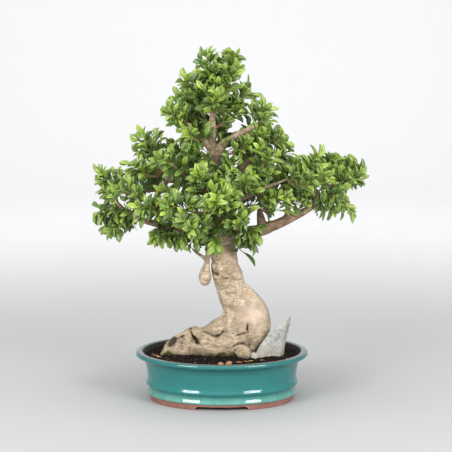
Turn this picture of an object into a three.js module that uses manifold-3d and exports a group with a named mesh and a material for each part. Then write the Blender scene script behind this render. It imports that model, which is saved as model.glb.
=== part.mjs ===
// Chinese banyan bonsai: a fig tree with a swollen, leaning trunk and surface roots, growing in a
// glazed oval pot on four feet. Millimetres, +Z up.
// The model is laid out round the middle of the pot and moved at the end, so that its origin is
// under the middle of the whole outline, on the surface that the feet stand on.
import * as THREE from 'three';
import { mergeVertices } from 'three/addons/utils/BufferGeometryUtils.js';
import Module from 'manifold-3d';

const wasm = await Module();
wasm.setup();

// Driving dimensions
const GAP = 0.35; // clearance between two pieces that touch
const POT_HALF_LENGTH = 200; // middle of the pot to the outside of its rim, along X
const POT_HALF_WIDTH = 154; // the same along Y
const POT_HEIGHT = 114; // feet to the top of the rim
const POT_SEGMENTS = 36;
const FLOOR_BOTTOM = 8; // underside of the pot's floor
const FLOOR_TOP = 16;
const FOOT_HEIGHT = 6.5;
const FRONT_ARCH = { top: 56, bottom: 63 }; // half widths of the gap between the feet, front and back
const END_ARCH = { top: 20, bottom: 26 }; // the same at the pot's two ends
const DRAIN_RADIUS = 12;
const DRAIN_OFFSET = 76; // middle of the pot to the middle of a drain hole
const SCREEN_SIZE = 46;
const SCREEN_THICKNESS = 1.6;
const SCREEN_MESHES = 3; // openings in a row of a drain screen
const SCREEN_BAR = 3;
const SOIL_EDGE = 103.5; // height of the soil at the pot's wall
const SOIL_CROWN = 111; // and under the tree
const TRUNK_DEPTH = 0.88; // the trunk is a little flatter front to back than it is wide
const LIMB_SIDES = 6;
const TWIG_SIDES = 4;
const TWIG_TIP = 1.7; // radius of a twig where its green shoot starts
const SHOOT_LENGTH = 44;
const SHOOT_RADIUS = 1.9;
const SHOOT_LEVELS = 7; // joints of a shoot, each with three places for a leaf
const LEAF_LENGTH = 36;
const LEAF_HALF_WIDTH = 7.2;
const LEAF_KEEL = 1.7; // depth of the blade along its midrib
const LEAF_ARCH = 0.13; // drop of the leaf's tip, as a share of its length
const LEAVES_PER_SPRAY = 10;
const SPREAD = { low: 82, high: 36, top: 8, vary: 30 }; // degrees between a leaf and its shoot
const LEAF_RISE = 0.2; // turns every leaf a little upwards
const FACING = { out: 0.75, along: 0.3, up: 0.45, vary: 1.3 }; // what the leaves' upper sides face
const WOOD_CLEARANCE = 3; // leaf to the skin of a branch
const CROWN_AXIS = { x: -10, y: 0 }; // shoots point away from this upright line

const POT_COLOUR = 0x46918a;
const SOIL_COLOUR = 0x2b2320;
const BARK_COLOUR = 0xcdb496;
const LEAF_COLOUR = 0x5c9430;
const STONE_COLOUR = 0xa8adab;
const SCREEN_COLOUR = 0x1d1f20;

// Solids

// Makes a closed geometry into a solid with its faces pointing out.
function solid(geometry) {
  const plain = new THREE.BufferGeometry();
  plain.setAttribute('position', geometry.getAttribute('position'));
  plain.setIndex(geometry.getIndex());
  const merged = mergeVertices(plain, 1e-4);
  const index = merged.getIndex().array;
  const points = merged.getAttribute('position').array;
  const corner = (i) => new THREE.Vector3().fromArray(points, 3 * i);
  const triangles = [];
  let volume = 0;
  for (let i = 0; i < index.length; i += 3) {
    const [a, b, c] = index.slice(i, i + 3);
    if (a === b || b === c || c === a) continue;
    triangles.push([a, b, c]);
    volume += corner(a).dot(corner(b).cross(corner(c)));
  }
  const turned = volume < 0 ? triangles.map(([a, b, c]) => [a, c, b]) : triangles;
  return new wasm.Manifold(new wasm.Mesh({
    numProp: 3,
    vertProperties: new Float32Array(points),
    triVerts: new Uint32Array(turned.flat()),
  }));
}

// Joins solids and keeps the one body that they make, without scraps or sealed hollows.
function fuse(bodies) {
  const pieces = bodies.reduce((whole, body) => whole.add(body)).decompose();
  return pieces.reduce((largest, piece) => (piece.volume() > largest.volume() ? piece : largest));
}

// Closed skin through rings of points. The rings are alike in count; a ring of one point is a tip.
function skin(rings) {
  const points = [];
  const starts = rings.map((ring) => points.push(...ring) - ring.length);
  const count = Math.max(...rings.map((ring) => ring.length));
  const triangles = [];
  for (let level = 0; level + 1 < rings.length; level += 1) {
    const low = (side) => starts[level] + (side % rings[level].length);
    const high = (side) => starts[level + 1] + (side % rings[level + 1].length);
    for (let side = 0; side < count; side += 1) {
      triangles.push(low(side), low(side + 1), high(side + 1));
      triangles.push(low(side), high(side + 1), high(side));
    }
  }
  for (let side = 2; side < rings[0].length; side += 1) {
    triangles.push(0, side, side - 1);
  }
  const top = starts[rings.length - 1];
  for (let side = 2; side < rings[rings.length - 1].length; side += 1) {
    triangles.push(top, top + side - 1, top + side);
  }
  const geometry = new THREE.BufferGeometry().setFromPoints(points);
  geometry.setIndex(triangles);
  return solid(geometry);
}

// Repeatable draw from 0 to 1 for a pair of whole numbers.
function draw(first, second) {
  const value = Math.sin(first * 127.1 + second * 311.7) * 43758.5453;
  return value - Math.floor(value);
}

// Pot

// Oval body turned from a profile of half lengths and heights. Width and length differ by the
// same amount at every height, so a wall keeps its thickness all the way round.
function ovalTurned(profile, segments) {
  const outline = profile.map(([radius, height]) => new THREE.Vector2(radius, height));
  const geometry = new THREE.LatheGeometry(outline, segments).rotateX(Math.PI / 2);
  const places = geometry.getAttribute('position');
  const difference = POT_HALF_LENGTH - POT_HALF_WIDTH;
  for (let i = 0; i < places.count; i += 1) {
    const radius = Math.max(Math.hypot(places.getX(i), places.getY(i)), 3 * difference);
    places.setY(i, places.getY(i) * (radius - difference) / radius);
  }
  return solid(geometry);
}

// Prism under the pot that leaves an arch between two feet.
function footArch({ top, bottom }, alongX) {
  const shape = new THREE.Shape([
    new THREE.Vector2(-bottom, -1),
    new THREE.Vector2(bottom, -1),
    new THREE.Vector2(top, FOOT_HEIGHT),
    new THREE.Vector2(-top, FOOT_HEIGHT),
  ]);
  const reach = 2 * POT_HALF_LENGTH;
  const geometry = new THREE.ExtrudeGeometry(shape, { depth: reach, bevelEnabled: false });
  geometry.translate(0, 0, -reach / 2).rotateX(Math.PI / 2);
  return solid(alongX ? geometry.rotateZ(Math.PI / 2) : geometry);
}

function makePot() {
  const outside = [
    [0, FLOOR_BOTTOM], [141, FLOOR_BOTTOM], [144, 0], [165, 0], [167, 11], [171, 14.5], [171, 22],
    [169.3, 33], [174.6, 38], [178, 85], [184, 98], [198, 103.5],
    [POT_HALF_LENGTH, 111], [POT_HALF_LENGTH - 2.5, POT_HEIGHT],
  ];
  const inside = [
    [185, POT_HEIGHT], [181, 110], [175, 98], [164, 40], [150, FLOOR_TOP], [0, FLOOR_TOP],
  ];
  let pot = ovalTurned([...outside, ...inside], POT_SEGMENTS);
  pot = pot.subtract(footArch(FRONT_ARCH, false));
  pot = pot.subtract(footArch(END_ARCH, true));
  for (const side of [-1, 1]) {
    const drill = new THREE.CylinderGeometry(DRAIN_RADIUS, DRAIN_RADIUS, 40, 16).rotateX(Math.PI / 2);
    pot = pot.subtract(solid(drill.translate(side * DRAIN_OFFSET, 0, FLOOR_TOP)));
  }
  return pot;
}

// Mesh screen that keeps the soil off a drain hole.
function makeScreen(side) {
  const pitch = (SCREEN_SIZE - SCREEN_BAR) / SCREEN_MESHES;
  const open = pitch - SCREEN_BAR;
  const centre = [side * DRAIN_OFFSET, 0, FLOOR_TOP + GAP + SCREEN_THICKNESS / 2];
  const plate = new THREE.BoxGeometry(SCREEN_SIZE, SCREEN_SIZE, SCREEN_THICKNESS);
  let screen = solid(plate.translate(...centre));
  for (let row = 0; row < SCREEN_MESHES; row += 1) {
    for (let column = 0; column < SCREEN_MESHES; column += 1) {
      const [x, y] = [column, row].map((step) => (step - (SCREEN_MESHES - 1) / 2) * pitch);
      const opening = new THREE.BoxGeometry(open, open, 3 * SCREEN_THICKNESS);
      screen = screen.subtract(solid(opening.translate(...centre).translate(x, y, 0)));
    }
  }
  return screen;
}

// Wood

const STEADY = new THREE.Vector3(0.31, -0.94, 0.12); // where the first side of a stem looks

// Woody stem through control points of x, y, z and radius, with one ring of sides for each. It can
// be grown all round, and its last ring can look another way than along the stem.
function limb(points, sides, { grow = 0, depth = 1, lobes = 0, end = null } = {}) {
  const centres = points.map(([x, y, z]) => new THREE.Vector3(x, y, z));
  const curve = new THREE.CatmullRomCurve3(centres, false, 'centripetal');
  const last = points.length - 1;
  const normal = STEADY.clone();
  const rings = points.map((point, level) => {
    const tangent = level === last && end ? end : curve.getTangent(level / last);
    const centre = centres[level].clone();
    if (level === 0) centre.addScaledVector(tangent, -grow);
    if (level === last) centre.addScaledVector(tangent, grow);
    normal.addScaledVector(tangent, -normal.dot(tangent)).normalize();
    const across = new THREE.Vector3().crossVectors(tangent, normal);
    return Array.from({ length: sides }, (unused, side) => {
      const turn = (2 * Math.PI * side) / sides;
      const swell = 1 + lobes * (Math.sin(3 * turn + 0.35 * level) + 0.6 * Math.sin(5 * turn - 0.5 * level));
      const radius = point[3] * swell + grow;
      const offset = normal.clone().multiplyScalar(Math.cos(turn) * radius);
      offset.addScaledVector(across, Math.sin(turn) * radius);
      offset.y *= depth;
      return offset.add(centre);
    });
  });
  return skin(rings);
}

// Rounded swelling: an egg with its own half sizes, turned about Y.
function swelling([x, y, z], [a, b, c], tilt, grow = 0) {
  const geometry = new THREE.IcosahedronGeometry(1, 1);
  geometry.scale(a + grow, b + grow, c + grow).rotateY(tilt).translate(x, y, z);
  return solid(geometry);
}

const TRUNK = [
  [14, 4, 82, 42], [22, 4, 106, 52], [34, 4, 127, 54], [46, 5, 149, 56],
  [55, 5, 166, 58.5], [57, 5, 180, 58.5], [55, 6, 198, 53.5], [48, 6, 215, 47], [37, 6, 232, 42],
  [24, 5, 250, 37], [18, 5, 268, 34.5], [14, 5, 284, 35.5], [9, 4, 298, 34], [6, 4, 312, 32],
  [5, 4, 326, 30.5], [2, 3, 346, 31.5], [-1, 2, 368, 30], [-2, 2, 392, 29], [-4, 2, 420, 26.5],
  [-6, 2, 455, 24], [-9, 2, 490, 21.5], [-11, 2, 525, 19.5], [-14, 2, 555, 18], [-20, 2, 584, 13],
];

const ROOTS = [
  // upper ridge, from the knee down to the left, with its cut end
  [[44, 4, 200, 34], [10, -4, 172, 27], [-16, -8, 162, 22], [-36, -12, 154, 18], [-54, -14, 152, 19],
    [-66, -14, 152, 15], [-74, -14, 152, 9]],
  // lower mass in front of it, out to the left end
  [[50, -14, 140, 41], [12, -22, 129, 29], [-26, -22, 125, 26], [-58, -18, 120, 22],
    [-92, -12, 116, 18], [-118, -8, 107, 12.5], [-136, -6, 96, 8]],
  // thin ridge that loops over the hollow at the left end
  [[-56, 6, 158, 12], [-76, 4, 156, 8.5], [-91, 0, 147, 7.5], [-105, -4, 140, 7], [-119, -8, 130, 6.5],
    [-130, -12, 119, 6.5], [-135, -16, 108, 6.5], [-134, -20, 96, 6.5]],
  // knob in front
  [[30, -24, 122, 24], [44, -38, 120, 17], [51, -50, 116, 16], [52, -54, 104, 13.5]],
  // back roots
  [[20, 20, 150, 34], [-16, 52, 126, 20], [-44, 76, 110, 14], [-66, 92, 94, 8]],
  [[56, 20, 150, 34], [86, 48, 122, 18], [106, 66, 106, 12], [120, 78, 90, 7]],
];

// Swellings of the roots: middle, half sizes and tilt.
const SWELLINGS = [
  [[-80, -15, 138], [12, 13, 21], 0.25], // lump left of the upper ridge's cut end
  [[-97, -7, 128], [13, 11, 18], 0.5], // bank between that lump and the hollow
  [[-46, 2, 140], [30, 17, 21], 0], // web between the upper ridge and the lower mass
];

const BRANCHES = [
  // long low branch to the right
  [[-2, 0, 400, 22], [33, -4, 396, 16], [60, -8, 395, 13.5], [83, -12, 397, 14], [104, -16, 405, 14],
    [124, -18, 413, 12], [145, -20, 423, 11], [167, -22, 434, 9.5], [188, -22, 444, 8],
    [206, -20, 455, 7], [222, -18, 470, 6], [238, -14, 486, 5], [252, -10, 506, 3.6]],
  [[92, -14, 408, 11], [89, -14, 432, 9], [84, -16, 452, 4]],
  [[148, -20, 424, 9], [152, -20, 446, 6], [158, -18, 474, 3]],
  [[211, -20, 456, 5], [214, -22, 486, 4], [212, -24, 512, 2.6]],
  // long low branch to the left
  [[0, 0, 372, 20], [-18, -6, 380, 14], [-50, -12, 388, 12], [-96, -20, 400, 10.5], [-141, -28, 414, 8.5],
    [-175, -32, 424, 7], [-205, -32, 438, 5.5], [-232, -28, 456, 4], [-250, -24, 480, 3]],
  // second branch on the left
  [[-8, 2, 474, 15], [-50, 8, 494, 10.5], [-96, 14, 512, 8.5], [-142, 18, 532, 6], [-160, 16, 552, 3.5]],
  // small branch under the top, to the left
  [[-16, 2, 574, 11], [-38, -2, 599, 6.5], [-61, -4, 622, 4.6], [-80, -8, 640, 3.2]],
  // leader to the top
  [[-16, 2, 560, 15], [-24, 2, 596, 11], [-22, 2, 640, 9], [-18, 0, 690, 6.5], [-19, 0, 732, 4]],
  // branch under the top, to the right
  [[-14, 2, 568, 14], [5, -8, 598, 10], [26, -14, 612, 9], [41, -20, 622, 8], [68, -28, 636, 5],
    [84, -28, 646, 3]],
  // second branch on the right
  [[-6, 4, 462, 16], [19, 12, 498, 11.5], [37, 20, 529, 10.5], [60, 26, 554, 8], [88, 30, 570, 5],
    [120, 28, 572, 3]],
  [[-4, 0, 446, 15], [42, -16, 474, 9.5], [78, -28, 490, 7], [112, -34, 506, 4.5], [150, -30, 520, 3]],
  // branches to the front
  [[-4, -4, 414, 17], [-34, -62, 440, 9.5], [-56, -100, 452, 6], [-70, -112, 462, 3.4]],
  [[0, -4, 428, 16], [14, -56, 458, 9], [20, -100, 470, 5.5], [10, -128, 478, 3.2]],
  // branches to the back
  [[-4, 4, 436, 17], [19, 76, 446, 10], [40, 128, 458, 6.5], [54, 150, 468, 3.4]],
  [[-10, 4, 494, 14], [-39, 76, 500, 9], [-62, 120, 508, 6], [-76, 138, 514, 3.4]],
  [[-16, 4, 562, 12], [-18, 50, 584, 7.5], [-8, 84, 592, 4]],
];

// Hanging stub with its bulb, left of the trunk, and its own thin branchlet.
const HANGING_STUB = [[-4, 0, 364, 16], [-24, -10, 366, 9], [-31, -12, 350, 7], [-33, -14, 328, 8],
  [-36, -15, 311, 12], [-39, -16, 294, 15], [-38, -16, 280, 13], [-37, -16, 273, 8]];
const STUB_BRANCHLET = [[-34, -14, 330, 6], [-44, -18, 338, 4.6], [-62, -24, 352, 3.2], [-74, -30, 366, 2.4]];

// Shoots of the crown: the middle of each, and its lift, from 1 straight up to -1 straight down.
const SPRAYS = [
  [-22, 0, 770, 0.95], [18, -22, 748, 0.85], [-60, -18, 728, 0.8], [-16, 46, 728, 0.8],
  [-14, -50, 694, 0.65], [40, 26, 700, 0.7], [-80, 26, 678, 0.7], [-42, 84, 650, 0.5],
  [-104, -30, 662, 0.5], [90, -12, 668, 0.75], [120, -44, 612, 0.45], [64, 52, 618, 0.6],
  [144, 22, 584, 0.4],
  [-164, 6, 594, 0.85], [-188, -34, 542, 0.6], [-116, -62, 560, 0.6], [-84, 52, 566, 0.6],
  [-60, -40, 612, 0.6],
  [-252, -10, 512, 0.65], [-214, -72, 496, 0.35], [-240, -12, 424, -0.55], [-160, -84, 462, 0.1],
  [-190, 52, 488, 0.45],
  [-106, -114, 470, 0.35], [-62, -138, 424, 0.05], [-112, -50, 398, -0.3], [-14, -160, 480, 0.45],
  [-46, -88, 526, 0.65], [36, -124, 440, 0.1], [-10, -78, 392, -0.2], [56, -54, 412, -0.3],
  [54, -92, 520, 0.65], [98, -72, 562, 0.7], [118, -62, 474, 0.2], [104, 62, 450, 0.1],
  [158, 14, 520, 0.75],
  [204, -20, 550, 0.85], [250, 26, 546, 0.75], [290, -6, 512, 0.5], [272, -52, 462, -0.45],
  [246, 44, 466, -0.2], [184, 72, 490, 0.3], [206, -84, 520, 0.45],
  [66, 174, 480, 0.3], [-14, 146, 520, 0.55], [-92, 160, 520, 0.3], [10, 106, 602, 0.5],
  [-140, 112, 500, 0.3], [140, 122, 528, 0.4],
];

// Points along stems, close enough together to test a distance to the wood.
function stations(points) {
  const found = [];
  for (let level = 0; level + 1 < points.length; level += 1) {
    const [from, to] = [points[level], points[level + 1]];
    const steps = Math.ceil(Math.hypot(to[0] - from[0], to[1] - from[1], to[2] - from[2]) / 4);
    for (let step = 0; step <= steps; step += 1) {
      found.push(from.map((value, axis) => value + ((to[axis] - value) * step) / steps));
    }
  }
  return found;
}

// Frame of a spray: where its shoot starts, the way out of the crown, the way that the shoot grows
// and two directions across it.
function sprayFrame([x, y, z, lift]) {
  const out = new THREE.Vector3(x - CROWN_AXIS.x, y - CROWN_AXIS.y, 0).normalize();
  const along = out.clone().multiplyScalar(Math.sqrt(1 - lift * lift)).setZ(lift);
  const steady = Math.abs(along.x) < 0.6 ? new THREE.Vector3(1, 0, 0) : new THREE.Vector3(0, 0, 1);
  const across = new THREE.Vector3().crossVectors(along, steady).normalize();
  const other = new THREE.Vector3().crossVectors(along, across);
  const middle = new THREE.Vector3(x, y, z);
  const base = middle.clone().addScaledVector(along, -SHOOT_LENGTH / 2);
  return { middle, base, out, along, across, other };
}

// Twig from a branch to the start of a shoot. It starts where it is short and hardly has to turn.
function twigPoints(frame, wood, number) {
  const end = frame.base.clone().addScaledVector(frame.along, -GAP);
  const cost = ([x, y, z]) => {
    const way = end.clone().sub(new THREE.Vector3(x, y, z));
    return way.length() * (2 - way.clone().normalize().dot(frame.along));
  };
  const start = wood.reduce((best, point) => (cost(point) < cost(best) ? point : best));
  const from = new THREE.Vector3(...start);
  const near = end.clone().addScaledVector(frame.along, -0.25 * end.distanceTo(from));
  const middle = from.clone().lerp(near, 0.65);
  middle.x += 6 * (draw(number, 1) - 0.5);
  middle.y += 6 * (draw(number, 2) - 0.5);
  const thick = Math.min(0.8 * start[3], 4.2);
  return [[...from, thick], [...middle, Math.min(thick, 2.8)], [...end, TWIG_TIP]];
}

// Leaves

// Rings of a shoot, with three points each. A ring is turned half a side from the one below, so
// that three of the six faces between them stand on a corner. Leaves grow out of those.
function shootRings(frame) {
  return Array.from({ length: SHOOT_LEVELS + 1 }, (unused, level) => {
    const share = level / SHOOT_LEVELS;
    const centre = frame.base.clone().addScaledVector(frame.along, share * SHOOT_LENGTH);
    return [0, 1, 2].map((side) => {
      const turn = (2 * Math.PI * (side + level / 2)) / 3;
      const radius = SHOOT_RADIUS * (1 - 0.35 * share);
      const point = centre.clone().addScaledVector(frame.across, Math.cos(turn) * radius);
      return point.addScaledVector(frame.other, Math.sin(turn) * radius);
    });
  });
}

const facesSolid = (faces) => solid(new THREE.BufferGeometry().setFromPoints(faces.flat()));

// Faces of a leaf's skin: the ring that it grows from, two rings of left edge, right edge and keel,
// and its tip. Each side next to the shoot is cut into triangles one way or the other.
function leafFaces([start, wide, narrow, tip], cuts) {
  return [0, 1, 2].flatMap((side) => {
    const next = (side + 1) % 3;
    const foot = cuts[side]
      ? [[start[side], start[next], wide[side]], [start[next], wide[next], wide[side]]]
      : [[start[side], start[next], wide[next]], [start[side], wide[next], wide[side]]];
    return [...foot,
      [wide[side], wide[next], narrow[next]], [wide[side], narrow[next], narrow[side]],
      [narrow[side], narrow[next], tip[0]]];
  });
}

// Whether some edge of a closed body passes through one of its faces.
function crossesItself(faces) {
  const ray = new THREE.Ray();
  const hit = new THREE.Vector3();
  return faces.some((face) => face.some((from, corner) => {
    const to = face[(corner + 1) % 3];
    ray.set(from, to.clone().sub(from).normalize());
    const length = from.distanceTo(to);
    return faces.some((other) => (!other.includes(from) && !other.includes(to)
      && ray.intersectTriangle(...other, false, hit) && hit.distanceTo(from) < length));
  }));
}

// Leaf on a face of its shoot, flat above, keeled below and arched along its length. Its foot is
// joined to the face in the way that makes it fullest, and there's no leaf if each crosses itself.
function leafOn(face, along, up, length) {
  const root = face.reduce((sum, corner) => sum.add(corner), new THREE.Vector3()).divideScalar(3);
  const side = new THREE.Vector3().crossVectors(along, up);
  const middle = (share) => {
    const centre = root.clone().addScaledVector(along, length * share);
    return centre.addScaledVector(up, -LEAF_ARCH * length * share * share);
  };
  const station = (share, halfWidth, keel) => [
    middle(share).addScaledVector(side, -halfWidth),
    middle(share).addScaledVector(side, halfWidth),
    middle(share).addScaledVector(up, -keel),
  ];
  const blade = [station(0.38, 0.95 * LEAF_HALF_WIDTH, LEAF_KEEL),
    station(0.72, 0.88 * LEAF_HALF_WIDTH, 0.8 * LEAF_KEEL), [middle(1)]];
  const volume = (faces) => faces.reduce((sum, [a, b, c]) => sum + b.clone().cross(c).dot(a), 0);
  let best = null;
  for (let way = 0; way < 24; way += 1) {
    const rings = [[0, 1, 2].map((corner) => face[(corner + way) % 3]), ...blade];
    const cuts = [3, 6, 12].map((bit) => Math.floor(way / bit) % 2 === 1);
    const faces = leafFaces(rings, cuts);
    const body = [[...rings[0]].reverse(), ...faces];
    const fullness = volume(body);
    if (fullness > (best ? best.fullness : 0) && !crossesItself(body)) {
      best = { rings, cuts, faces, fullness };
    }
  }
  return best;
}

// Leaf at one of a shoot's places, three to a level, or at its top end after the last place.
function leafAt(frame, rings, number, placeNumber) {
  const level = Math.floor(placeNumber / 3);
  const side = placeNumber % 3;
  const top = level === SHOOT_LEVELS;
  const vary = (kind) => draw(number, kind + placeNumber) - 0.5;
  const above = rings[level + 1];
  const face = top ? rings[level] : [above[side], above[(side + 2) % 3], rings[level][side]];
  const share = (level + 0.5) / SHOOT_LEVELS;
  const open = SPREAD.low + (SPREAD.high - SPREAD.low) * share + SPREAD.vary * vary(10);
  const spread = THREE.MathUtils.degToRad(top ? SPREAD.top : open);
  const turn = (2 * Math.PI * (side + level / 2)) / 3 + 0.5 * vary(90);
  const away = frame.across.clone().multiplyScalar(Math.cos(turn));
  away.addScaledVector(frame.other, Math.sin(turn));
  const along = frame.along.clone().multiplyScalar(Math.cos(spread));
  along.addScaledVector(away, Math.sin(spread));
  along.z += LEAF_RISE;
  along.normalize();
  const up = frame.out.clone().multiplyScalar(FACING.out).addScaledVector(frame.along, FACING.along);
  up.x += FACING.vary * vary(130);
  up.y += FACING.vary * vary(170);
  up.z += FACING.up;
  up.addScaledVector(along, -up.dot(along)).normalize();
  const length = LEAF_LENGTH * (0.99 + 0.26 * vary(50));
  return leafOn(face, along, up, length);
}

// A leaf may stand where it stays in its own spray's share of the crown and clear of the wood.
function leafIsClear({ rings: [start, wide, narrow, tip] }, frame, neighbours, wood) {
  const corners = [...wide, ...narrow, ...tip];
  const inShare = corners.every((corner) => neighbours.every((other) => (
    corner.distanceToSquared(other) - corner.distanceToSquared(frame.middle)
      > 1.2 * frame.middle.distanceTo(other))));
  if (!inShare) return false;
  const tests = [...corners];
  for (let side = 0; side < 3; side += 1) {
    for (const share of [0.33, 0.67]) {
      tests.push(start[side].clone().lerp(wide[side], 0.3 + share));
      tests.push(wide[side].clone().lerp(narrow[side], share));
      tests.push(narrow[side].clone().lerp(tip[0], share));
    }
  }
  return tests.every((test) => wood.every(([x, y, z, radius]) => (
    Math.hypot(test.x - x, test.y - y, test.z - z) > radius + WOOD_CLEARANCE)));
}

// Closed body of a leaf by itself, started just off the shoot, to test what it crosses.
function looseLeaf({ rings: [[a, b, c], ...blade], cuts }) {
  const outward = b.clone().sub(a).cross(c.clone().sub(a)).setLength(0.05);
  const start = [a, b, c].map((corner) => corner.clone().add(outward));
  return facesSolid([[...start].reverse(), ...leafFaces([start, ...blade], cuts)]);
}

// Skin of a shoot, open where leaves grow out of it.
function shootFaces(rings, leaves) {
  const faces = [[...rings[0]].reverse()];
  for (let level = 0; level < SHOOT_LEVELS; level += 1) {
    const [low, high] = [rings[level], rings[level + 1]];
    for (let side = 0; side < 3; side += 1) {
      faces.push([low[side], low[(side + 1) % 3], high[side]]);
      if (!leaves.has(3 * level + side)) faces.push([low[side], high[side], high[(side + 2) % 3]]);
    }
  }
  if (!leaves.has(3 * SHOOT_LEVELS)) faces.push(rings[SHOOT_LEVELS]);
  return faces;
}

// Shoot with its leaves, in one skin.
function makeSpray(frame, number, neighbours, wood) {
  const rings = shootRings(frame);
  const places = 3 * SHOOT_LEVELS;
  const order = [places, ...Array.from({ length: places }, (unused, step) => (8 * step) % places)];
  const leaves = new Map();
  const bodies = [facesSolid(shootFaces(rings, leaves))];
  for (const placeNumber of order) {
    const leaf = leafAt(frame, rings, number, placeNumber);
    if (leaves.size === LEAVES_PER_SPRAY || !leaf) continue;
    if (!leafIsClear(leaf, frame, neighbours, wood)) continue;
    const body = looseLeaf(leaf);
    if (bodies.some((other) => !other.intersect(body).isEmpty())) continue;
    leaves.set(placeNumber, leaf);
    bodies.push(body);
  }
  const skins = [...leaves.values()].flatMap((leaf) => leaf.faces);
  return facesSolid([...shootFaces(rings, leaves), ...skins]);
}

// Stone and pebbles

// Slab of stone that leans on the trunk: the outline of its flat front face, as x and z.
const STONE_OUTLINE = [[70, 88], [70, 110], [90, 140], [109, 168], [122, 172], [140, 186], [155, 200],
  [153, 184], [147, 158], [140, 136], [136, 88]];
const STONE_CENTRE = [112, 145];

function makeStone(grow = 0) {
  const layer = (share, depth) => STONE_OUTLINE.map(([x, z]) => {
    const across = x - STONE_CENTRE[0];
    const rise = z - STONE_CENTRE[1];
    const scale = share + grow / Math.hypot(across, rise);
    return new THREE.Vector3(
      STONE_CENTRE[0] + across * scale + 0.4 * depth,
      -42 + 0.43 * across * scale + depth,
      STONE_CENTRE[1] + rise * scale - 0.1 * depth,
    );
  });
  return skin([layer(0.93, -3 - grow), layer(1, 3), layer(0.98, 17), layer(0.78, 26 + grow)]);
}

function makePebble([x, y, z], radius, number, grow = 0) {
  const geometry = new THREE.IcosahedronGeometry(1, 1);
  geometry.scale((radius + grow) * 1.15, (radius + grow) * 0.95, (radius + grow) * 0.72);
  geometry.rotateX(draw(number, 3)).rotateZ(3 * draw(number, 4)).translate(x, y, z);
  return solid(geometry);
}

// Assembly

const colouredMaterial = (color, roughness) => new THREE.MeshStandardMaterial({
  color, roughness, metalness: 0, flatShading: true,
});

const tree = new THREE.Group();

function place(name, body, material) {
  const { vertProperties, triVerts } = body.getMesh();
  const geometry = new THREE.BufferGeometry();
  geometry.setAttribute('position', new THREE.BufferAttribute(vertProperties, 3));
  geometry.setIndex(new THREE.BufferAttribute(triVerts, 1));
  geometry.computeVertexNormals();
  const mesh = new THREE.Mesh(geometry, material);
  mesh.name = name;
  tree.add(mesh);
}

// Lower part of the tree, which the soil and the stone make room for when it is grown by the gap.
function lowerTree(grow) {
  const parts = [limb(TRUNK, 10, { grow, depth: TRUNK_DEPTH, lobes: 0.025 })];
  ROOTS.forEach((root) => parts.push(limb(root, 8, { grow, lobes: 0.03 })));
  SWELLINGS.forEach(([middle, halfSizes, tilt]) => parts.push(swelling(middle, halfSizes, tilt, grow)));
  return parts;
}

const frames = SPRAYS.map(sprayFrame);
const branchWood = BRANCHES.flatMap(stations);
const trunkWood = [TRUNK, HANGING_STUB, STUB_BRANCHLET].flatMap(stations);
const attachments = [...branchWood, ...TRUNK.slice(15), ...stations(STUB_BRANCHLET)];
const twigs = frames.map((frame, number) => twigPoints(frame, attachments, number));

const trunk = fuse([
  ...lowerTree(0),
  ...BRANCHES.map((branch) => limb(branch, LIMB_SIDES, { lobes: 0.02 })),
  limb(HANGING_STUB, 8, { lobes: 0.03 }),
  limb(STUB_BRANCHLET, 6),
  ...twigs.map((twig, number) => limb(twig, TWIG_SIDES, { end: frames[number].along })),
]);
const grownTree = fuse(lowerTree(GAP));
const stone = fuse([makeStone().subtract(grownTree)]);

const PEBBLES = [
  { at: [-2, -121, 109], radius: 7, colour: 0xc2ab88 },
  { at: [16, -116, 110], radius: 7.5, colour: 0xb0714a },
];

const screens = [-1, 1].map(makeScreen);
const screenPocket = (side) => solid(new THREE.BoxGeometry(
  SCREEN_SIZE + 2 * GAP, SCREEN_SIZE + 2 * GAP, 2 * (SCREEN_THICKNESS + 2 * GAP),
).translate(side * DRAIN_OFFSET, 0, FLOOR_TOP));

function makeSoil() {
  const bed = [
    [0, FLOOR_TOP + GAP], [149.7, FLOOR_TOP + GAP], [163.4, 40], [174.4, 98], [177, SOIL_EDGE],
    [100, SOIL_CROWN - 2], [0, SOIL_CROWN],
  ];
  let soil = ovalTurned(bed, POT_SEGMENTS).subtract(grownTree).subtract(makeStone(GAP));
  soil = soil.subtract(screenPocket(-1)).subtract(screenPocket(1));
  PEBBLES.forEach(({ at, radius }, number) => {
    soil = soil.subtract(makePebble(at, radius, number, GAP));
  });
  return fuse([soil]);
}

place('pot', makePot(), colouredMaterial(POT_COLOUR, 0.2));
place('soil', makeSoil(), colouredMaterial(SOIL_COLOUR, 0.95));
place('trunk', trunk, colouredMaterial(BARK_COLOUR, 0.8));
place('stone', stone, colouredMaterial(STONE_COLOUR, 0.85));
place('drain_screen_left', screens[0], colouredMaterial(SCREEN_COLOUR, 0.6));
place('drain_screen_right', screens[1], colouredMaterial(SCREEN_COLOUR, 0.6));
PEBBLES.forEach(({ at, radius, colour }, number) => {
  place(`pebble_${number + 1}`, makePebble(at, radius, number), colouredMaterial(colour, 0.8));
});
frames.forEach((frame, number) => {
  const neighbours = frames.filter((other) => other !== frame).map((other) => other.middle);
  const ownTwig = twigs[number];
  const wood = [...branchWood, ...trunkWood];
  twigs.forEach((twig) => wood.push(...stations(twig === ownTwig ? twig.slice(0, 2) : twig)));
  const name = `spray_${String(number + 1).padStart(2, '0')}`;
  place(name, makeSpray(frame, number, neighbours, wood), colouredMaterial(LEAF_COLOUR, 0.45));
});

const outline = new THREE.Box3().setFromObject(tree);
const centre = outline.getCenter(new THREE.Vector3());
tree.position.set(-centre.x, -centre.y, -outline.min.z);

const model = new THREE.Group();
model.add(tree);

export default model;
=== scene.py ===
# Chinese banyan bonsai: a fig tree with a swollen, leaning trunk and surface roots, in a glazed
# oval pot on four feet.
# Tables of places hold millimetres round the middle of the pot, with the tree's front towards -Y,
# as the solids were laid out. Meshes are made in metres, in the frame, and so are the materials'
# sizes and heights.
import math

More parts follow.
